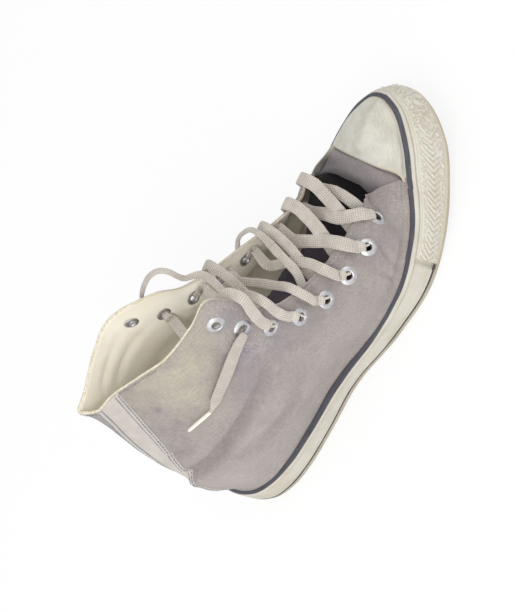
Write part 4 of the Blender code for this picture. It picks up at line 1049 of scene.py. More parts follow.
points, edge = joinSides(*blocks), joinSides(*edges)
capPiece = makePiece("toe_cap_rubber", points.reshape(-1, 3), gridFaces(*points.shape[:2], flip=True),
                     capRubber, clothGrid(toEdge, climb(points)),
                     {"edge": np.clip(edge, 0, 1).ravel(), "hollow": np.zeros(edge.size)}, weld=0.02)
finish(capPiece, "SOLIDIFY", thickness=cap["wall"] * mm, offset=-1.0, use_rim=True)
keepPiece(capPiece, "toe_cap", "toe_cap")
print("toe cap:", len(capPiece.data.polygons), "faces")


def stationOf(side, x):
    # station of the outline at x
    fine = np.linspace(0, 1, 4001)
    return float(np.interp(-x, -rimAt(side, fine)[0][:, 0], fine))


def evenStations(step, keepX=()):
    # stations that both sides share, about step millimetres apart, and those of the given x
    count = int(rimRun[-1][-1] / step)
    extra = [stationOf(side, x) for x in keepX for side in (-1, 1)]
    return np.unique(np.round(np.r_[np.linspace(0, 1, count), extra], 5))


def roundRing(stations, height, add, inset=outerInset):
    # one ring: height over the outsole bottom and how far in from the inset, both of x, side and run
    out = []
    for side, ss in ((-1, stations), (1, stations[-2:0:-1])):
        p, n = rimAt(side, ss)
        x = p[:, 0]
        run = ss * rimRun[side][-1] * side
        h = height(x) if callable(height) else height + 0 * x
        a = add(x, h, run) if callable(add) else add + 0 * x
        out.append(np.c_[p - n * (inset(x, h) + a + toeLean(side, x, h))[:, None], h + riseAt(x)])
    return np.concatenate(out)


def ringPiece(name, stations, rows, look, marks=None, inset=outerInset, closed=True, caps=False):
    # rows: height, add; lofted into one closed band, or a slab whose ends are filled
    rings = np.stack([roundRing(stations, h, a, i if callable(i) else inset)
                      for h, a, i in ((*r, None)[:3] for r in rows)], axis=1)
    count, levels = rings.shape[:2]
    faces = []
    for k in range(levels if closed else levels - 1):
        j = (k + 1) % levels
        for i in range(count):
            m = (i + 1) % count
            faces.append((i * levels + k, m * levels + k, m * levels + j, i * levels + j))
    if caps:
        for k in (0, levels - 1):
            for i in range(count // 2):
                corners = dict.fromkeys((i, i + 1, count - (i + 1), (count - i) % count))
                quad = [q * levels + k for q in corners]
                if len(quad) > 2:
                    faces.append(tuple(quad))
    return makePiece(name, rings.reshape(-1, 3), faces, look, clothGrid(runOf(rings[:, 0]), climb(rings)),
                     marks(rings) if marks else None, weld=0.001)


lowEdge = last["soleEdge"] + last["gap"]
foxingStep = 1.25
stations = evenStations(foxingStep, (last["bumperEnd"], last["bumperEnd"] - 1.5))
uneven = {"long": 0.12, "short": 0.08}


def worn(x, h, run):
    # slight unevenness in two sizes
    return uneven["long"] * np.sin(run / 9.0 + h) + uneven["short"] * np.sin(run / 3.7 + h * 2.1)


def foxingAdd(amount):
    # set back under the toe bumper, lightly uneven elsewhere
    def add(x, h, run):
        back = (last["bumperWall"] + last["gap"]) * bumperShare(x) * (h < foxingTop(x) - 4.6)
        return amount + back + worn(x, h, run) * 0.6
    return add


slant = {"drop": 1.5, "band": 6.5}  # the slanting top, and the band under it


def top(drop):
    return lambda x: foxingTop(x) - drop


def part(share):
    return lambda x: lowEdge + (foxingTop(x) - slant["band"] - lowEdge) * share


def slantInset(share):
    # between the outer face of the foxing and its inner top edge
    def inset(x, h):
        outside, inside = outerInset(x, foxingTop(x) - slant["drop"]), innerInset(x, foxingTop(x))
        return (1 - share) * outside + share * inside
    return inset


def slantRow(share, lift):
    return top(slant["drop"] * (1 - share) - 0.9 * lift), -0.4 * lift, slantInset(share)


# section of the foxing: height over its low edge, share of its wall, drop under its top, and how far set in
footRows = ((0.0, 0.5), (0.3, 0.12), (0.8, 0.0))
wallShares = (0.12, 0.24, 0.36, 0.48, 0.6, 0.72, 0.84, 0.93)
topRows = ((6.1, 0.0), (5.6, 0.0), (5.35, 0.4), (4.95, 0.4), (4.7, -0.05), (4.3, -0.35), (3.2, -0.4),
           (2.1, -0.35), (1.75, -0.15))
foxingSection = [(lowEdge + up, foxingAdd(inward)) for up, inward in footRows]
foxingSection += [(part(q), foxingAdd(-0.25 * math.sin(math.pi * q))) for q in wallShares]
foxingSection += [(top(drop), foxingAdd(inward)) for drop, inward in topRows]
foxingSection += [slantRow(share, 0.0) for share in (0.0, 0.5, 1.0)]
foxingSection += [(12.0, 0.0, innerInset), (lowEdge, 0.0, innerInset)]


grime = {"edge": 1.1, "seamAt": 5.15, "grooveAt": 0.62, "groove": 0.6, "heel": 0.7, "heelFrom": 12.0,
         "heelOver": 55.0}


def rubberMarks(rings):
    # yellow near the edges, grime where the rubber meets its neighbours
    count, levels = rings.shape[:2]
    x = rings[:, :, 0]
    h = rings[:, :, 2] - riseAt(x)
    drop = foxingTop(x) - h
    edge = bell(h - lowEdge, grime["edge"]) + 0.4 * bell(drop - 5.4, 0.6)
    groove = bell(drop - grime["grooveAt"] * foxingTop(x), 0.5) * (1 - bumperShare(x))
    hollow = bell(drop - grime["seamAt"], 0.3) + 0.5 * bell(h - lowEdge, 0.4) + grime["groove"] * groove
    toHeel = 1 - smooth((x - grime["heelFrom"]) / grime["heelOver"])
    grimy = grime["heel"] * toHeel * (0.4 + 0.6 * smooth(drop / 12.0))
    return {"edge": np.clip(edge, 0, 1).ravel(), "hollow": np.clip(np.maximum(hollow, grimy), 0, 1).ravel()}


foxing = ringPiece("foxing_rubber", stations, foxingSection, sideRubber, rubberMarks)
keepPiece(foxing, "foxing", "foxing")

# the dark stripe on the slanting top of the foxing, lapped at the toe cap's outer corner
stripeSize = {"proud": 0.42, "lapAt": 243.0, "lap": 0.45}
stripeSection = [(0.08, -0.4), (0.06, 0.1), (0.08, 0.34), (0.13, stripeSize["proud"]),
                 (0.3, stripeSize["proud"] + 0.06), (0.55, stripeSize["proud"] + 0.06),
                 (0.72, stripeSize["proud"]), (0.77, 0.3), (0.8, 0.1), (0.79, -0.4)]


def stripeRow(share, lift):
    height, add, inset = slantRow(share, lift)

    def lapped(x, h, run):
        lap = stripeSize["lap"] * smooth((x - stripeSize["lapAt"]) / 0.8) * (run < 0) * (lift > 0)
        return add - lap + 0.5 * worn(x, h, run)
    return height, lapped, inset


def stripeMarks(rings):
    shares = np.array([row[0] for row in stripeSection])
    marks = bell(shares - 0.8, 0.03) + 0.3 * bell(shares - 0.06, 0.02)
    return {"edge": np.tile(marks, len(rings))}


band = ringPiece("foxing_stripe", stations, [stripeRow(*row) for row in stripeSection], stripe, stripeMarks)
keepPiece(band, "foxing")

# thin dark line low on the foxing, from the bumper's ends round the heel
pinStations = stations[stations >= stationOf(-1, last["bumperEnd"] - 0.1)]
pinSection = [(5.4, 0.25), (5.45, -0.1), (5.6, -0.26), (7.1, -0.27), (7.3, -0.1), (7.35, 0.25)]
rings = []
for h, add in pinSection:
    rows = []
    for side, ss in ((-1, pinStations), (1, pinStations[-2::-1])):
        p, n = rimAt(side, ss)
        rows.append(np.c_[p - n * (outerInset(p[:, 0], h) + add)[:, None], h + riseAt(p[:, 0])])
    rings.append(np.concatenate(rows))
rings = np.stack(rings, axis=1)
count, around = rings.shape[:2]
flat = clothGrid(np.arange(count) * foxingStep, np.tile(np.arange(around) * 0.5, (count, 1)))
pin = makePiece("foxing_pinstripe", rings.reshape(-1, 3), tubeFaces(count, around), pinStripe, flat,
                {"edge": np.zeros(count * around)}, weld=0.001)
keepPiece(pin, "foxing")

# toe bumper: ribbed and pebbled strip
bumper = {"step": 0.6, "levels": 48, "chevron": 3.6, "depth": 0.95, "pebble": 1.05, "pebbleSize": 2.2,
          "low": 0.13, "high": 0.92, "fade": 0.05, "ribsFrom": 26.0, "ribsOver": 18.0, "ribsWide": 5.4,
          "ribsAt": 0.52, "slope": 0.9, "out": 0.12, "grooves": (0.94, 0.1), "grooveDepth": 0.22,
          "topRound": 0.5, "lowRound": 0.35, "crown": 0.2}
columnsOf = {}
for side in (-1, 1):
    end = stationOf(side, last["bumperEnd"])
    columnsOf[side] = np.linspace(0, end, int(end * rimRun[side][-1] / bumper["step"]))
hs = np.linspace(0, 1, bumper["levels"])


def movedIn(p, n, shift, height):
    # outline points moved in, at their heights
    return np.stack([p[:, :1] - n[:, :1] * shift, p[:, 1:] - n[:, 1:] * shift, height], axis=2)


def bumperRow(side, ss):
    # outer and inner face, hollows, yellowing and cloth coordinates of one side
    p, n = rimAt(side, ss)
    x = p[:, 0]
    run = ss * rimRun[side][-1]
    high = foxingTop(x) - last["bumperDrop"] - 0.35
    h = lowEdge + (high - lowEdge)[:, None] * hs[None, :]
    across = h - (lowEdge + bumper["ribsAt"] * (high - lowEdge))[:, None]
    q = (h - lowEdge) / (high - lowEdge)[:, None]
    zone = smooth((q - bumper["low"]) / bumper["fade"]) * smooth((bumper["high"] - q) / bumper["fade"])
    toTip = smooth((run - bumper["ribsFrom"]) / bumper["ribsOver"])[:, None]
    chevron = np.sin(2 * np.pi * (run[:, None] + np.abs(across) * bumper["slope"]) / bumper["chevron"])
    ribs = 0.5 + 0.5 * np.clip(chevron * 1.6, -1, 1)
    places = movedIn(p, n, 0 * h, h).reshape(-1, 3) / bumper["pebbleSize"]
    pebbles = np.array([abs(noise.noise(Vector(place))) for place in places]).reshape(h.shape)
    centre = np.exp(-(across / bumper["ribsWide"]) ** 4)
    relief = zone * (bumper["depth"] * ribs * centre * toTip
                     + bumper["pebble"] * pebbles * 2.2 * (1 - 0.75 * centre * toTip))
    grooves = sum(bumper["grooveDepth"] * bell(q - at, 0.012) for at in bumper["grooves"])
    rounding = bumper["topRound"] * smooth((q - 0.965) / 0.035) + bumper["lowRound"] * (1 - smooth(q / 0.03))
    inset = outerInset(np.repeat(x, len(hs)), h.ravel()).reshape(h.shape)
    inset = inset + toeLean(side, np.repeat(x, len(hs)), h.ravel()).reshape(h.shape)
    crown = bumper["crown"] * np.sin(np.pi * q)
    shift = inset - bumper["out"] - relief * 0.9 + grooves + rounding - crown
    height = h + riseAt(x)[:, None]
    # darker in the relief's hollows and grooves: dust there, and painted shade
    hollow = zone * (1 - np.clip(relief / 0.7, 0, 1)) + grooves * 3
    yellow = np.clip(bell(q - 0.04, 0.09) + 0.35 * bell(q - 0.97, 0.05), 0, 1)
    flat = clothGrid(run * side, h).reshape(*h.shape, 2)
    outer, inner = movedIn(p, n, shift, height), movedIn(p, n, inset + last["bumperWall"], height)
    return outer, inner, hollow, yellow, flat


both = [bumperRow(-1, columnsOf[-1][::-1]), bumperRow(1, columnsOf[1][1:])]
outerFace, innerFace, hollow, yellow, flat = (np.concatenate([a, b]) for a, b in zip(*both))
count = len(outerFace)
# three rows are enough on the inner face
innerFace = innerFace[:, [-1, bumper["levels"] - 1 - bumper["levels"] // 2, 0]]
points = np.concatenate([outerFace, innerFace], axis=1)
flat = np.concatenate([flat, flat[:, -3:]], axis=1).reshape(-1, 2)
yellow = np.c_[yellow, np.full((count, 3), 0.3)]
hollow = np.c_[np.clip(hollow, 0, 1), np.full((count, 3), 0.2)]
toeBumper = makePiece("toe_bumper_rubber", points.reshape(-1, 3), tubeFaces(*points.shape[:2]),
                      bumperRubber, flat, {"edge": yellow.ravel(), "hollow": hollow.ravel()}, weld=0.0005)
keepPiece(toeBumper, "toe_bumper", "toe_bumper", angle=60)
print("foxing, stripes and toe bumper done")

# outsole: tan edge, a rim and lugs underneath
outsole = {"rim": 5.5, "recess": 1.3, "lug": 2.9, "lugSides": 6, "bevel": 0.25, "pitch": 7.2,
           "rowShare": 0.866, "clear": 9.5}


def zero(x, h):
    return 0 * x


soleSection = [(outsole["recess"], outsole["rim"] + 0.6, zero), (0.25, outsole["rim"] + 0.3, zero),
               (0.0, outsole["rim"], zero), (0.0, 2.2, zero), (0.25, 1.3, zero), (0.8, 0.6, zero),
               (1.6, 0.25, zero), (2.6, 0.15, zero), (3.3, 0.2, zero), (last["soleEdge"], 0.5, zero),
               (last["soleEdge"], last["gap"] + 0.2, innerInset),
               (last["slab"], last["gap"] + 0.2, innerInset)]


def soleMarks(rings):
    h = rings[:, :, 2] - riseAt(rings[:, :, 0])
    return {"edge": bell(h - 0.3, 0.8).ravel(), "hollow": (0.8 * (h > 3.4)).ravel()}


solePiece = ringPiece("outsole_rubber", stations, soleSection, soleRubber, soleMarks, closed=False, caps=True)

bpy.ops.object.select_all(action="DESELECT")
bpy.ops.mesh.primitive_cylinder_add(vertices=outsole["lugSides"], radius=outsole["lug"] * mm,
                                    depth=outsole["recess"] * mm * 1.3, location=(0, 0, 0))
lug = bpy.context.object
bpy.ops.object.mode_set(mode="EDIT")
bpy.ops.mesh.select_all(action="SELECT")
bpy.ops.mesh.bevel(offset=outsole["bevel"] * mm, segments=1)
bpy.ops.object.mode_set(mode="OBJECT")
lugPoints, lugFaces = takeApart(lug)
lugPoints = lugPoints / mm
fine = np.linspace(0, 1, 400)
loop = np.concatenate([rimAt(-1, fine)[0], rimAt(1, fine[::-1])[0]])
points, faces = [], []
row, y = 0, -60.0
while y < 60:
    x = 4.0 + (row % 2) * outsole["pitch"] / 2
    while x < last["length"]:
        gaps = loop - np.array([x, y])
        inside = np.min(np.hypot(gaps[:, 0], gaps[:, 1])) > outsole["clear"]
        angle = np.unwrap(np.arctan2(gaps[:, 1], gaps[:, 0]))
        if inside and abs(angle[-1] - angle[0]) > 3:
            base = len(points) * len(lugPoints)
            rise = float(riseAt(np.array([x]))[0])
            points.append(lugPoints + np.array([x, y, rise + outsole["recess"] * 0.65]))
            faces += [tuple(base + k for k in f) for f in lugFaces]
        x += outsole["pitch"]
    y += outsole["pitch"] * outsole["rowShare"]
    row += 1
points = np.concatenate(points)
lugs = makePiece("outsole_lugs", points, faces, soleRubber, None,
                 {"edge": np.zeros(len(points)), "hollow": np.zeros(len(points))})
choose(solePiece)
lugs.select_set(True)
bpy.ops.object.join()
keepPiece(solePiece, "outsole", "outsole", angle=40)

# insole board with a soft edge: height, how far its edge is set in
board = {"step": 3.0, "inside": 3.2, "section": ((0.0, 0.0), (2.2, 0.0), (2.9, 0.3), (3.2, 1.0))}


def boardInset(x, h):
    return innerInset(x, h) + last["snug"] + board["inside"]


boardRows = [(last["slab"] + last["gap"] + up, inward, boardInset) for up, inward in board["section"]]
insole = ringPiece("insole_cloth", evenStations(board["step"]), boardRows, boardCloth, closed=False,
                   caps=True)
keepPiece(insole, "insole", "insole", angle=40)
print("outsole and insole done")


# tongue, sunk between the flaps and slid to the outer side
# from under the vamp to its top: inner edge, middle, outer edge
tongueRows = (
    ((236.0, 17.0, 40.0), (239.0, 2.0, 44.0), (239.0, -13.0, 40.0)),
    ((221.2, 27.0, 46.5), (226.0, -1.0, 42.0), (226.0, -21.0, 40.0)),
    ((206.2, 22.5, 57.5), (204.0, -9.0, 51.0), (203.0, -32.0, 48.0)),
    ((186.5, 10.0, 61.0), (184.0, -14.0, 61.5), (182.0, -35.0, 56.0)),
    ((172.0, 1.0, 68.0), (169.0, -17.0, 70.5), (166.0, -36.0, 64.0)),
    ((161.0, 0.0, 77.0), (156.0, -18.0, 79.5), (151.0, -35.5, 74.0)),
    ((151.5, -4.0, 84.0), (146.0, -20.0, 88.5), (141.0, -34.5, 86.0)),
    ((144.5, -8.0, 91.0), (139.0, -21.0, 98.0), (134.0, -32.0, 98.0)),
    ((137.0, -9.0, 100.0), (131.0, -20.0, 109.0), (127.0, -30.0, 109.0)),
)
tongueSize = {"columns": 90, "rows": 34, "rowStep": 16.0, "thick": 2.6, "crumple": 0.9, "bevel": 0.7,
              "paintedShadowTo": 1.6}
t = np.linspace(0, len(tongueRows) - 1, tongueSize["columns"])
lines = [hermite(np.arange(len(tongueRows)), np.array([r[k] for r in tongueRows]), t) for k in range(3)]
s = np.linspace(0, 2, tongueSize["rows"])
points = np.stack([hermite(np.arange(3), np.array([line[i] for line in lines]), s) for i in range(len(t))])
for p in points.reshape(-1, 3):
    p[2] += tongueSize["crumple"] * (noise.noise(Vector(p / 11.0)) + 0.4 * noise.noise(Vector(p / 4.0)))
# painted shadow on the tongue's front, where it lies deep under the vamp
paintedShadow = np.repeat(1 - smooth((t - tongueSize["paintedShadowTo"]) / 2.2), len(s))
tongue = makePiece("tongue_cloth", points.reshape(-1, 3), gridFaces(len(t), len(s)), darkCloth,
                   clothGrid(t * tongueSize["rowStep"], climb(points)), {"paintedShadow": paintedShadow}, weld=0.001)
finish(tongue, "SOLIDIFY", thickness=tongueSize["thick"] * mm, offset=0.0, use_rim=True)
finish(tongue, "BEVEL", width=tongueSize["bevel"] * mm, segments=2, limit_method="ANGLE",
       angle_limit=math.radians(60))
keepPiece(tongue, "tongue", "tongue", angle=60)
print("tongue done")


# eyelets: one ring turned in edit mode and copied to each seat
# radius, height over the canvas
ringSection = (
    (2.62, -2.6), (2.5, -1.2), (2.5, 0.1), (2.62, 0.55), (2.95, 0.88), (3.4, 1.0), (3.95, 0.92), (4.6, 0.62),
    (5.2, 0.3), (5.6, 0.12), (5.72, -0.02), (5.6, -0.12), (4.6, -0.1), (3.0, -0.15), (2.95, -1.9),
    (4.3, -2.0), (4.65, -2.2), (4.3, -2.45), (3.5, -2.7), (2.9, -2.8),
)
ringSteps = 36
bpy.ops.object.select_all(action="DESELECT")
bpy.ops.mesh.primitive_circle_add(vertices=len(ringSection), radius=1 * mm, location=(0, 0, 0))
ring = bpy.context.object
for vertex, (radius, height) in zip(ring.data.vertices, ringSection):
    vertex.co = (radius * mm, 0, height * mm)
bpy.ops.object.mode_set(mode="EDIT")
bpy.ops.mesh.select_all(action="SELECT")
bpy.ops.mesh.spin(steps=ringSteps, angle=2 * math.pi, center=(0, 0, 0), axis=(0, 0, 1))
bpy.ops.mesh.select_all(action="SELECT")
bpy.ops.mesh.remove_doubles(threshold=0.01 * mm)
bpy.ops.mesh.normals_make_consistent(inside=False)
bpy.ops.object.mode_set(mode="OBJECT")
ring.data.materials.append(metal)
for (side, number), seat in seats.items():
    copy = bpy.data.objects.new(f"eyelet_ring_{'outer' if side < 0 else 'inner'}_{number}", ring.data.copy())
    scene.collection.objects.link(copy)
    turn = Vector(seat["axis"]).to_track_quat("Z", "Y").to_matrix().to_4x4()
    centre = Vector(toRow(seat["at"] + seat["axis"] * seat["plane"]))
    copy.data.transform(Matrix.Translation(centre) @ turn)
    copy.data.polygons.foreach_set("use_smooth", [True] * len(copy.data.polygons))
    keepPiece(copy, "eyelet", f"eyelet_{'lateral' if side < 0 else 'medial'}_{number}", angle=50)
bpy.data.objects.remove(ring)
print("eyelets done")


# laces: flat woven strips
laceSize = {"thick": 1.05, "step": 0.8, "around": 16, "hole": 4.6, "holeThick": 1.5, "inHole": 3.2,
            "widen": 4.6, "cup": 0.12, "uneven": 0.05}
# strip name, width, eyelet it leaves (side, number, face 1 outer or -1 inner), eyelet it goes to,
# and between them x, y, z and the direction its flat face looks
laceRuns = (
    ("bar", 7.6, (1, 1, -1), None, (
        (213, 17, 57.5, 0.1, -0.4, 0.9), (216, 6, 58.5, 0.1, -0.3, 0.9), (216.5, -4, 58.2, 0.1, -0.3, 0.9),
        (215.3, -13, 56.5, 0.1, -0.1, 1.0), (213.7, -21, 55.0, 0.1, -0.1, 1.0))),
    ("first_near", 8.4, (-1, 1, 1), (1, 2, -1), (
        (214.2, -24.2, 65.0, 0.4, -0.4, 0.8), (210, -19.6, 67.6, 0.2, -0.4, 0.9),
        (205, -12, 67.0, 0.1, -0.3, 0.9), (202, 0, 65.0, 0.1, -0.3, 0.9), (198, 11, 62.5, 0.1, -0.6, 0.8))),
    ("first_far", 8.4, (1, 1, 1), (-1, 2, -1), (
        (212, 31, 63.0, 0.0, 0.9, 0.4), (214, 24, 68.8, 0.1, 0.1, 1.0), (214.5, 16, 68.2, 0.1, -0.3, 0.9),
        (212, 5, 66.8, 0.1, -0.3, 0.9), (208, -8, 65.0, 0.1, -0.3, 0.9), (203, -20, 61.5, 0.1, -0.2, 1.0))),
    ("second_near", 8.4, (-1, 2, 1), (1, 3, -1), (
        (196, -34.5, 72.0, 0.5, -0.4, 0.8), (194, -28, 76.6, 0.2, -0.4, 0.9),
        (190, -17, 75.8, 0.1, -0.3, 0.9), (184, -5, 74.6, 0.1, -0.3, 0.9), (179, 6, 73.5, 0.1, -0.6, 0.8))),
    ("second_far", 8.4, (1, 2, 1), (-1, 3, -1), (
        (194, 27, 70.0, 0.0, 0.9, 0.4), (197, 21, 77.0, 0.1, 0.1, 1.0), (198, 13, 77.0, 0.1, -0.3, 0.9),
        (196, 2, 75.6, 0.1, -0.3, 0.9), (191, -13, 73.6, 0.1, -0.3, 0.9), (185, -25, 69.5, 0.1, -0.2, 1.0))),
    ("third_near", 6.8, (-1, 3, 1), (1, 4, -1), (
        (177, -39, 79.5, 0.4, -0.6, 0.7), (177, -33, 87.4, 0.2, -0.4, 0.9), (175, -21, 87.5, 0.1, -0.3, 0.9),
        (169, -8, 87.5, 0.1, -0.3, 0.9), (160, 5, 87.3, 0.1, -0.7, 0.7))),
    ("third_far", 6.8, (1, 3, 1), (-1, 4, -1), (
        (176, 27, 83.0, 0.0, 0.9, 0.4), (179, 20, 90.0, 0.1, 0.1, 1.0), (179, 10, 89.7, 0.1, -0.3, 0.9),
        (177, -2, 88.0, 0.1, -0.3, 0.9), (173, -14, 86.0, 0.1, -0.3, 0.9), (167, -26, 81.0, 0.1, -0.2, 1.0))),
    ("fourth_near", 5.8, (-1, 4, 1), (1, 5, -1), (
        (159, -40.5, 91.0, 0.4, -0.8, 0.4), (160.3, -39, 99.5, 0.4, -0.7, 0.6),
        (160.5, -30.5, 106.6, 0.2, -0.4, 0.9), (156, -18, 103.0, 0.1, -0.3, 0.9),
        (151, -5, 102.0, 0.1, -0.3, 0.9), (145, 10, 102.0, 0.1, -0.7, 0.7))),
    ("fourth_far", 5.8, None, (-1, 5, -1), (
        (173.6, 5.5, 95.5, 0.1, -0.3, 0.9), (172, 0, 94.4, 0.1, -0.3, 0.9), (170, -8, 93.2, 0.1, -0.3, 0.9),
        (167, -19, 91.5, 0.1, -0.3, 0.9), (161, -28, 91.0, 0.1, -0.2, 1.0))),
    ("fifth_near", 6.2, (-1, 5, 1), (1, 6, -1), (
        (146, -39.8, 108.0, 0.3, -0.9, 0.2), (147, -38.5, 119.0, 0.2, -0.9, 0.2),
        (150, -35, 128.0, 0.5, -0.5, 0.7), (149, -25, 130.0, 0.2, -0.2, 1.0),
        (140, -8, 122.0, 0.1, -0.3, 0.9), (132, 8, 117.0, 0.1, -0.7, 0.7))),
    ("fifth_far", 6.2, (1, 5, 1), (-1, 6, -1), (
        (141, 30, 111.0, 0.0, 0.9, 0.4), (146, 25, 117.5, 0.1, 0.1, 1.0), (147, 13, 118.0, 0.1, -0.3, 0.9),
        (146, 1, 117.0, 0.1, -0.3, 0.9), (143, -12, 113.5, 0.1, -0.3, 0.9))),
    ("sixth_near", 7.2, (-1, 6, 1), (1, 7, -1), (
        (139, -38, 127.5, 0.1, -0.9, 0.3), (144, -35.8, 138.5, 0.1, -0.9, 0.3),
        (149, -33, 147.0, 0.5, -0.5, 0.7), (147, -22.5, 148.5, -0.1, -0.2, 1.0),
        (132, -17, 141.0, -0.3, -0.2, 0.9), (121, -13, 127.0, -0.3, -0.2, 0.9),
        (112, -9, 115.0, 0.1, -0.3, 0.9), (103, 0, 113.0, 0.1, -0.8, 0.5), (102, 13, 120.0, 0.1, -0.9, 0.5))),
)
laceNodes = {
    "bar": "lace_bar", "first_near": "lace_crossing_1", "second_near": "lace_crossing_2",
    "third_near": "lace_crossing_3", "fourth_far": "lace_run_4_far", "fourth_near": "lace_run_4",
    "fifth_near": "lace_run_5", "fifth_far": "lace_run_5_far", "sixth_near": "lace_run_6",
}


def holeRows(side, number, face, toward):
    # out of the hole and over the flange, towards the strip's next point
    seat = seats[side, number]
    axis = seat["axis"] * face
    base = seat["at"] + seat["axis"] * (seat["plane"] if face > 0 else seat["plane"] - seatSize["wall"])
    way = toward - base
    way = unit(way - axis * (way @ axis))
    up = 1.0 if face > 0 else 0.85
    # height over the cloth, length along its way, direction of its face
    rows = ((-2.8, 1.0, -way), (-0.6, 1.5, -way), (up * 0.75, 2.2, unit(axis - way)), (up + 0.55, 3.8, axis),
            (up - 0.3, 6.4, axis))
    return [np.r_[base + axis * height + way * length, looks] for height, length, looks in rows]


def stripMesh(name, rows, widths, thicks, look, cup=0.0, shade=0.0):
    # a soft flat strip through rows of point and face direction
    rows = np.asarray(rows, float)
    run = runOf(rows[:, :3])
    count = max(int(run[-1] / laceSize["step"]), 8)
    at = np.linspace(0, run[-1], count)
    fine = hermite(run, rows, at)
    middleLine, face = fine[:, :3], fine[:, 3:]
    s = runOf(middleLine)
    wide, thick = (np.interp(at, *zip(*sizes(run[-1]))) for sizes in (widths, thicks))
    way = unit(np.gradient(middleLine, axis=0))
    across = unit(np.cross(way, face))
    face = unit(np.cross(across, way))
    angles = np.linspace(0, 2 * math.pi, laceSize["around"], endpoint=False)
    c, q = np.cos(angles), np.sin(angles)
    x = np.sign(c) * np.abs(c) ** 0.55
    y = np.sign(q) * np.abs(q) ** 0.5
    jitter = np.array([noise.noise(Vector((v * 0.28, len(name) * 3.1, wide[0]))) for v in s])
    wide = wide * (1 + laceSize["uneven"] * jitter)
    bend = cup * (1 - x[None, :] ** 2)
    sideways = wide[:, None] / 2 * x[None, :]
    points = (middleLine[:, None, :] + across[:, None, :] * sideways[:, :, None]
              + face[:, None, :] * ((thick[:, None] / 2 * y[None, :]) + bend)[:, :, None])
    return makePiece(name, points.reshape(-1, 3), tubeFaces(count, len(x)), look, clothGrid(s, sideways),
                     {"dark": np.full(count * len(x), shade)}, weld=0.0005)


def runSizes(full, thin, start, end):
    # a size along a strip, thin at the ends that sit in holes
    inHole, reach = laceSize["inHole"], laceSize["widen"]

    def sizes(total):
        rows = [(0, thin if start else full)]
        if start:
            rows += [(inHole, thin), (inHole + reach, full)]
        if end:
            rows += [(max(total - inHole - reach, rows[-1][0] + 0.1), full), (total - 3.0, thin)]
        return rows + [(total, thin if end else full)]
    return sizes


for name, width, start, end, rows in laceRuns:
    rows = [np.array(r, float) for r in rows]
    head = holeRows(*start, rows[0][:3]) if start else []
    tail = holeRows(*end, rows[-1][:3])[::-1] if end else []
    widths = runSizes(width, laceSize["hole"], start, end)
    thicks = runSizes(laceSize["thick"], laceSize["holeThick"], start, end)
    piece = stripMesh(f"lace_{name}", head + rows + tail, widths, thicks, laceWeave, laceSize["cup"])
    keepPiece(piece, "lace", *([laceNodes[name]] if name in laceNodes else []), angle=70)
print("laces done")

# loose lace: its route, point by point; sizes along it: share of its length, millimetres on, share of its
# width
looseLaces = {
    "lace_loop_front": {"width": 3.4, "thick": 1.9, "face": (0.4, 0.2, 0.9), "length": 0.045, "shade": 0.1,
                        "sizes": ((0, 0, 1), (0.6, 0, 1), (1, 0, 1.7)), "route": (
        (155.2, 26.8, 88.5), (158.0, 31.2, 88.5), (162.0, 33.2, 89.3), (166.0, 32.3, 91.0),
        (170.0, 29.2, 92.8), (173.0, 26.0, 94.2), (174.8, 21.5, 96.0), (175.2, 15.0, 96.6),
        (174.6, 9.0, 96.2), (173.2, 4.0, 95.6))},
    "lace_loop_rear": {"width": 3.6, "thick": 1.8, "face": (0.6, 0.2, 0.7), "length": 0.131, "shade": 0.1,
                       "sizes": ((0, 0, 1), (0.6, 0, 1), (0.75, 0, 1.5), (1, 0, 1.15)), "route": (
        (122.8, 29.0, 116.3), (116.5, 33.0, 119.5), (110.0, 37.5, 126.5), (107.0, 39.3, 134.0),
        (109.5, 39.0, 141.0), (115.0, 38.3, 145.5), (121.5, 37.3, 148.2), (128.0, 35.5, 149.5),
        (133.5, 32.0, 148.0), (135.5, 27.5, 144.0), (135.0, 24.5, 139.0), (135.3, 22.5, 134.0),
        (138.0, 21.0, 131.0), (141.5, 17.5, 129.5), (143.0, 11.0, 129.5), (143.0, 3.0, 131.5),
        (142.0, -7.0, 133.5), (138.5, -17.0, 134.5), (134.0, -25.5, 134.8))},
    "lace_end": {"width": 7.8, "thick": 1.1, "face": (-0.3, -0.85, 0.35), "length": 0.066, "shade": 0.3,
                 "sizes": ((0, 0, 0.6), (0, 6, 0.95), (0.55, 0, 1), (1, -9, 0.85), (1, -2.5, 0.34),
                           (1, 0, 0.3)), "route": (
        (129.8, -37.4, 136.6), (124.0, -36.9, 136.8), (118.0, -35.7, 135.0), (111.0, -34.2, 132.0),
        (103.0, -32.2, 128.0), (94.0, -29.7, 123.5), (85.0, -27.0, 119.0), (77.0, -24.8, 115.0),
        (70.5, -22.9, 112.0))},
}
aglet = {"tip": (50.0, -11.5, 108.0), "back": (69.9, -22.7, 111.7), "radius": 1.2, "sides": 28, "seam": 0.14,
         "nose": 0.8, "crimp": 0.93, "crimpFrom": 0.42, "bevel": 0.2}

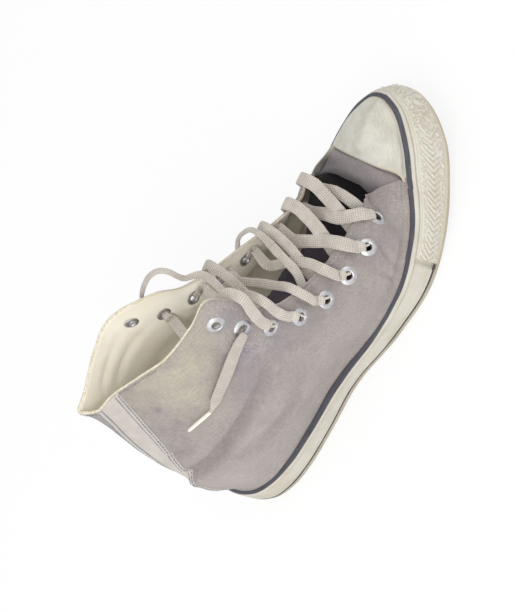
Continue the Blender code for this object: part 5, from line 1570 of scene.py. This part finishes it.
# the stiff tip: a tube crimped round the end, with a lengthwise seam
tip, tail = (Vector(toRow(aglet[k])) for k in ("tip", "back"))
length = (tail - tip).length
bpy.ops.object.select_all(action="DESELECT")
bpy.ops.mesh.primitive_cylinder_add(vertices=aglet["sides"], radius=aglet["radius"] * mm, depth=length,
                                    location=(0, 0, 0))
tipPiece = bpy.context.object
tipPiece.name = "aglet_tip"
bpy.ops.object.mode_set(mode="EDIT")
for share in (-0.44, -0.2, 0.1, 0.38, 0.45):  # rings to crimp
    bpy.ops.mesh.select_all(action="SELECT")
    bpy.ops.mesh.bisect(plane_co=(0, 0, share * length), plane_no=(0, 0, 1))
bpy.ops.mesh.select_all(action="DESELECT")
bpy.ops.object.mode_set(mode="OBJECT")
for vertex in tipPiece.data.vertices:
    angle = math.atan2(vertex.co.y, vertex.co.x)
    share = vertex.co.z / length
    pinch = aglet["crimp"] if abs(share) > aglet["crimpFrom"] else 1.0
    pinch *= (1 - aglet["seam"] * math.exp(-(angle / 0.22) ** 2)) * (aglet["nose"] if share < -0.49 else 1)
    vertex.co.x *= pinch
    vertex.co.y *= pinch
tipPiece.data.materials.append(tipPlastic)
turn = (tail - tip).to_track_quat("Z", "Y").to_matrix().to_4x4()
tipPiece.data.transform(Matrix.Translation((tip + tail) / 2) @ turn)
finish(tipPiece, "BEVEL", width=aglet["bevel"] * mm, segments=2, limit_method="ANGLE",
       angle_limit=math.radians(50))
keepPiece(tipPiece, "aglet", "aglet", angle=45)

for name, loose in looseLaces.items():
    route = np.array(loose["route"], float)
    face = np.tile(unit(np.array(loose["face"])), (len(route), 1))
    if name == "lace_loop_front":
        turnAway = smooth(np.linspace(0, 1, len(route)) * 1.6 - 0.6)[:, None]
        face = unit(face * (1 - turnAway) + np.array((0.1, -0.3, 0.9)) * turnAway)
    if name == "lace_loop_rear":
        turnAway = np.linspace(0, 1, len(route))[:, None]
        face = unit(face * (1 - turnAway) + np.array((0.1, -0.6, 0.8)) * turnAway)
    if name == "lace_end":
        face = np.array([normalAt(-1, *nearestOn(-1, p))[0] for p in route])
        face[0] = unit(face[0] + np.array((0.0, 0.0, 0.6)))
    width, thick = loose["width"], loose["thick"]
    widths = lambda total: [(total * share + on, width * wide) for share, on, wide in loose["sizes"]]
    thicks = lambda total: [(0, thick), (total, thick)]
    piece = stripMesh(name + "_strip", np.c_[route, face], widths, thicks, laceWeave, 0.1, loose["shade"])
    keepPiece(piece, "lace", name, angle=70)
    run = runOf(route)
    path = toRow(hermite(run, route, np.linspace(0, run[-1], int(run[-1] / 3))))
    real = float(np.linalg.norm(np.diff(path, axis=0), axis=1).sum())
    print(name, "is", round(real * 1000, 1), "mm long")
    width * mm


# heel strip, collar edge and stitches
strip = {"columns": 20, "lift": 0.75, "ridge": 0.8, "wall": 0.9,
         # seam on each side from the collar down: x, y, z
         "outerSeam": ((58.5, 16.0, 152.5), (47.0, 14.0, 131.0), (35.0, 10.0, 110.0), (24.0, 3.5, 92.0),
                       (13.5, -5.0, 75.0), (9.0, -9.5, 55.0), (9.0, -12.5, 38.0), (10.0, -12.5, 27.0)),
         "innerSeam": ((38.0, 26.0, 150.0), (32.0, 28.5, 130.0), (24.0, 28.5, 112.0), (17.0, 25.5, 96.0),
                       (11.0, 19.0, 78.0), (9.0, 14.0, 58.0), (9.5, 12.5, 40.0), (10.0, 12.5, 27.0))}
seams = {}
for side, key in ((-1, "outerSeam"), (1, "innerSeam")):
    found = np.array([nearestOn(side, p, (lastRib[side] - 3.0, 0.14)) for p in strip[key]])
    found[0] = (15.0, 1.0) if side < 0 else (18.0, 1.0)
    order = np.argsort(found[:, 1])
    seams[side] = found[order]  # rib and level
levels = np.linspace(0.16, 1.0, 84)


def seamAt(side, level):
    return np.interp(level, seams[side][:, 1], seams[side][:, 0])


blocks = []
share = np.linspace(0, 1, strip["columns"]) ** 1.5
for side in (-1, 1):
    start = seamAt(side, levels)
    us = start[None, :] + (lastRib[side] - start)[None, :] * share[:, None]
    vs = np.tile(levels, (len(share), 1))
    base, ways, _ = clothAt(side, us.ravel(), vs.ravel())
    block = base.reshape(len(share), len(levels), 3)
    away = np.cumsum(np.linalg.norm(np.diff(block, axis=0, prepend=block[:1]), axis=2), axis=0)
    lift = strip["lift"] + strip["ridge"] * bell(away - 2.6, 0.9) - 0.35 * bell(away, 0.5)
    block = block + ways.reshape(block.shape) * lift[:, :, None]
    blocks.append(block if side < 0 else block[-2::-1])
points = np.concatenate(blocks)
flat = clothGrid(np.arange(len(points)) * 1.2, np.tile(np.arange(len(levels)) * 1.5, (len(points), 1)))
heelStrip = makePiece("heel_strip", points.reshape(-1, 3), gridFaces(*points.shape[:2], flip=True),
                      stripCloth, flat)
finish(heelStrip, "SOLIDIFY", thickness=strip["wall"] * mm, offset=-1.0, use_rim=True)
keepPiece(heelStrip, "upper", angle=70)


def edgeLine(side, us):
    # the canvas edge, with its directions outwards and upwards
    p, n, _ = clothAt(side, us, 0 * us + 1)
    q, _, _ = clothAt(side, us, 0 * us + 0.985)
    return p, n, unit(p - q)


collar = {"wide": 2.1, "high": 0.5, "around": 8, "in": 0.95, "from": 5.98, "steps": 300,
          "plainTo": (10.6, 11.0)}
outerRun = np.linspace(collar["from"], lastRib[-1], collar["steps"])
innerRun = np.linspace(lastRib[1], collar["from"], collar["steps"])
lineParts = [edgeLine(-1, outerRun), edgeLine(1, innerRun)]
middleLine, outWay, upWay = (np.concatenate([a, b[1:]]) for a, b in zip(*lineParts))
angles = np.linspace(0, 2 * math.pi, collar["around"], endpoint=False)
fray = np.array([noise.noise(Vector(p / 1.7)) for p in middleLine])
centreLine = middleLine - outWay * collar["in"] + upWay * (0.05 + 0.1 * fray)[:, None]
rounded = np.sin(angles)[None, :] * collar["high"] * (0.9 + 0.35 * fray)[:, None]
points = (centreLine[:, None] + outWay[:, None] * (np.cos(angles) * collar["wide"] / 2)[None, :, None]
          + upWay[:, None] * rounded[:, :, None])
plain = np.r_[1 - smooth(outerRun - collar["plainTo"][0]),
              0.5 - 0.5 * smooth((innerRun[1:] - collar["plainTo"][1]) / 1.5)]
edging = makePiece("collar_edge", points.reshape(-1, 3), tubeFaces(*points.shape[:2]), edgeCloth, None,
                   {"plain": np.repeat(plain, collar["around"])}, weld=0.0005)
keepPiece(edging, "upper")

# one stitch, modelled once and copied along the seams
stitchShape = (0.95, 0.3, 0.26)
bpy.ops.object.select_all(action="DESELECT")
bpy.ops.mesh.primitive_uv_sphere_add(segments=6, ring_count=4, radius=1.0, location=(0, 0, 0))
stitch = bpy.context.object
bpy.ops.object.mode_set(mode="EDIT")
bpy.ops.mesh.select_all(action="SELECT")
bpy.ops.transform.resize(value=stitchShape)
bpy.ops.object.mode_set(mode="OBJECT")
stitchPoints, stitchFaces = takeApart(stitch)


def sewn(name, lines, look, pitch=2.5, lift=0.12, size=1.0, skip=0.0):
    # stitches along lines of cloth points with their normals
    points, faces, used = [], [], 0
    for line, ways in lines:
        run = runOf(line)
        spotsAt = np.arange(pitch / 2, run[-1], pitch)
        at = np.stack([np.interp(spotsAt, run, line[:, k]) for k in range(3)], axis=1)
        up = unit(np.stack([np.interp(spotsAt, run, ways[:, k]) for k in range(3)], axis=1))
        ahead = unit(np.gradient(at, axis=0)) if len(at) > 1 else unit(np.diff(line, axis=0)[:1])
        for p, n, w in zip(at, up, ahead):
            if random.random() < skip:
                continue
            tilt = unit(w + np.cross(n, w) * random.uniform(-0.12, 0.12))
            cross = unit(np.cross(n, tilt))
            here = stitchPoints[:, :1] * tilt + stitchPoints[:, 1:2] * cross + stitchPoints[:, 2:] * n
            points.append(here * size * random.uniform(0.92, 1.08) + p + n * lift)
            faces += [tuple(used + k for k in f) for f in stitchFaces]
            used += len(stitchPoints)
    keepPiece(makePiece(name, np.concatenate(points), faces, look), "upper")


def clothLine(side, us, vs, lift=0.0):
    p, n, _ = clothAt(side, us, vs, lift)
    return p, n


lines = []
for side in (-1, 1):
    for away in (1.1, 4.1):
        level = np.linspace(0.17, 0.995, 160)
        u = seamAt(side, level)
        here = clothAt(side, u, level)[0]
        ahead = clothAt(side, u + 0.25, level)[0]
        gap = np.maximum(np.linalg.norm(ahead - here, axis=1), 1e-3)
        u = np.minimum(u + 0.25 * away / gap, lastRib[side])
        lines.append(clothLine(side, u, level, strip["lift"] + 0.05))
sewn("heel_strip_stitches", lines, threadBlue, pitch=2.8, size=1.45)

# short rows: side, then rib and level along each
sewnRows = (
    (-1, ((11.61, 0.87), (10.91, 0.78), (10.34, 0.75))), (-1, ((11.72, 0.84), (11.0, 0.75), (10.4, 0.715))),
    (-1, ((11.14, 0.97), (10.62, 0.96))),
    (-1, ((3.3, 0.42), (3.5, 0.39), (4.22, 0.33), (5.39, 0.37), (5.85, 0.58))),
    (1, ((11.6, 0.87), (10.9, 0.8), (10.3, 0.76))),
    (1, ((3.3, 0.3), (4.22, 0.27), (5.39, 0.37), (5.85, 0.56))),
)
paleLines = []
for side, rows in sewnRows:
    rows = np.array(rows)
    way = hermite(np.arange(len(rows)), rows, np.linspace(0, len(rows) - 1, 60))
    paleLines.append(clothLine(side, way[:, 0], way[:, 1], 0.05))
for side in (-1, 1):
    us = np.linspace(6.15, 9.6, 80)
    paleLines.append(clothLine(side, us, levelBelow(side, us, 2.4), 0.05))
    for past in (2.0, 4.4):
        level = np.linspace(0.2, 0.44 if side < 0 else 0.3, 50)
        u = frontRib(side, level)
        here = surfaceAt(side, u, level)
        gap = np.maximum(np.linalg.norm(surfaceAt(side, u + 0.2, level) - here, axis=1), 0.3)
        paleLines.append(clothLine(side, u + 0.2 * past / gap, level, 0.25))
sewn("upper_stitches", paleLines, threadPale, pitch=2.6, size=0.8, skip=0.1)

darkLines = []
for side, first, lastOne in ((-1, 13.4, 15.2), (1, 16.2, 18.2)):
    us = np.linspace(first, lastOne, 60)
    darkLines.append(clothLine(side, us, levelBelow(side, us, 1.7), 0.5))
sewn("collar_stitches", darkLines, threadDark, pitch=2.3, size=0.85)
print("heel strip, edges and stitches done")
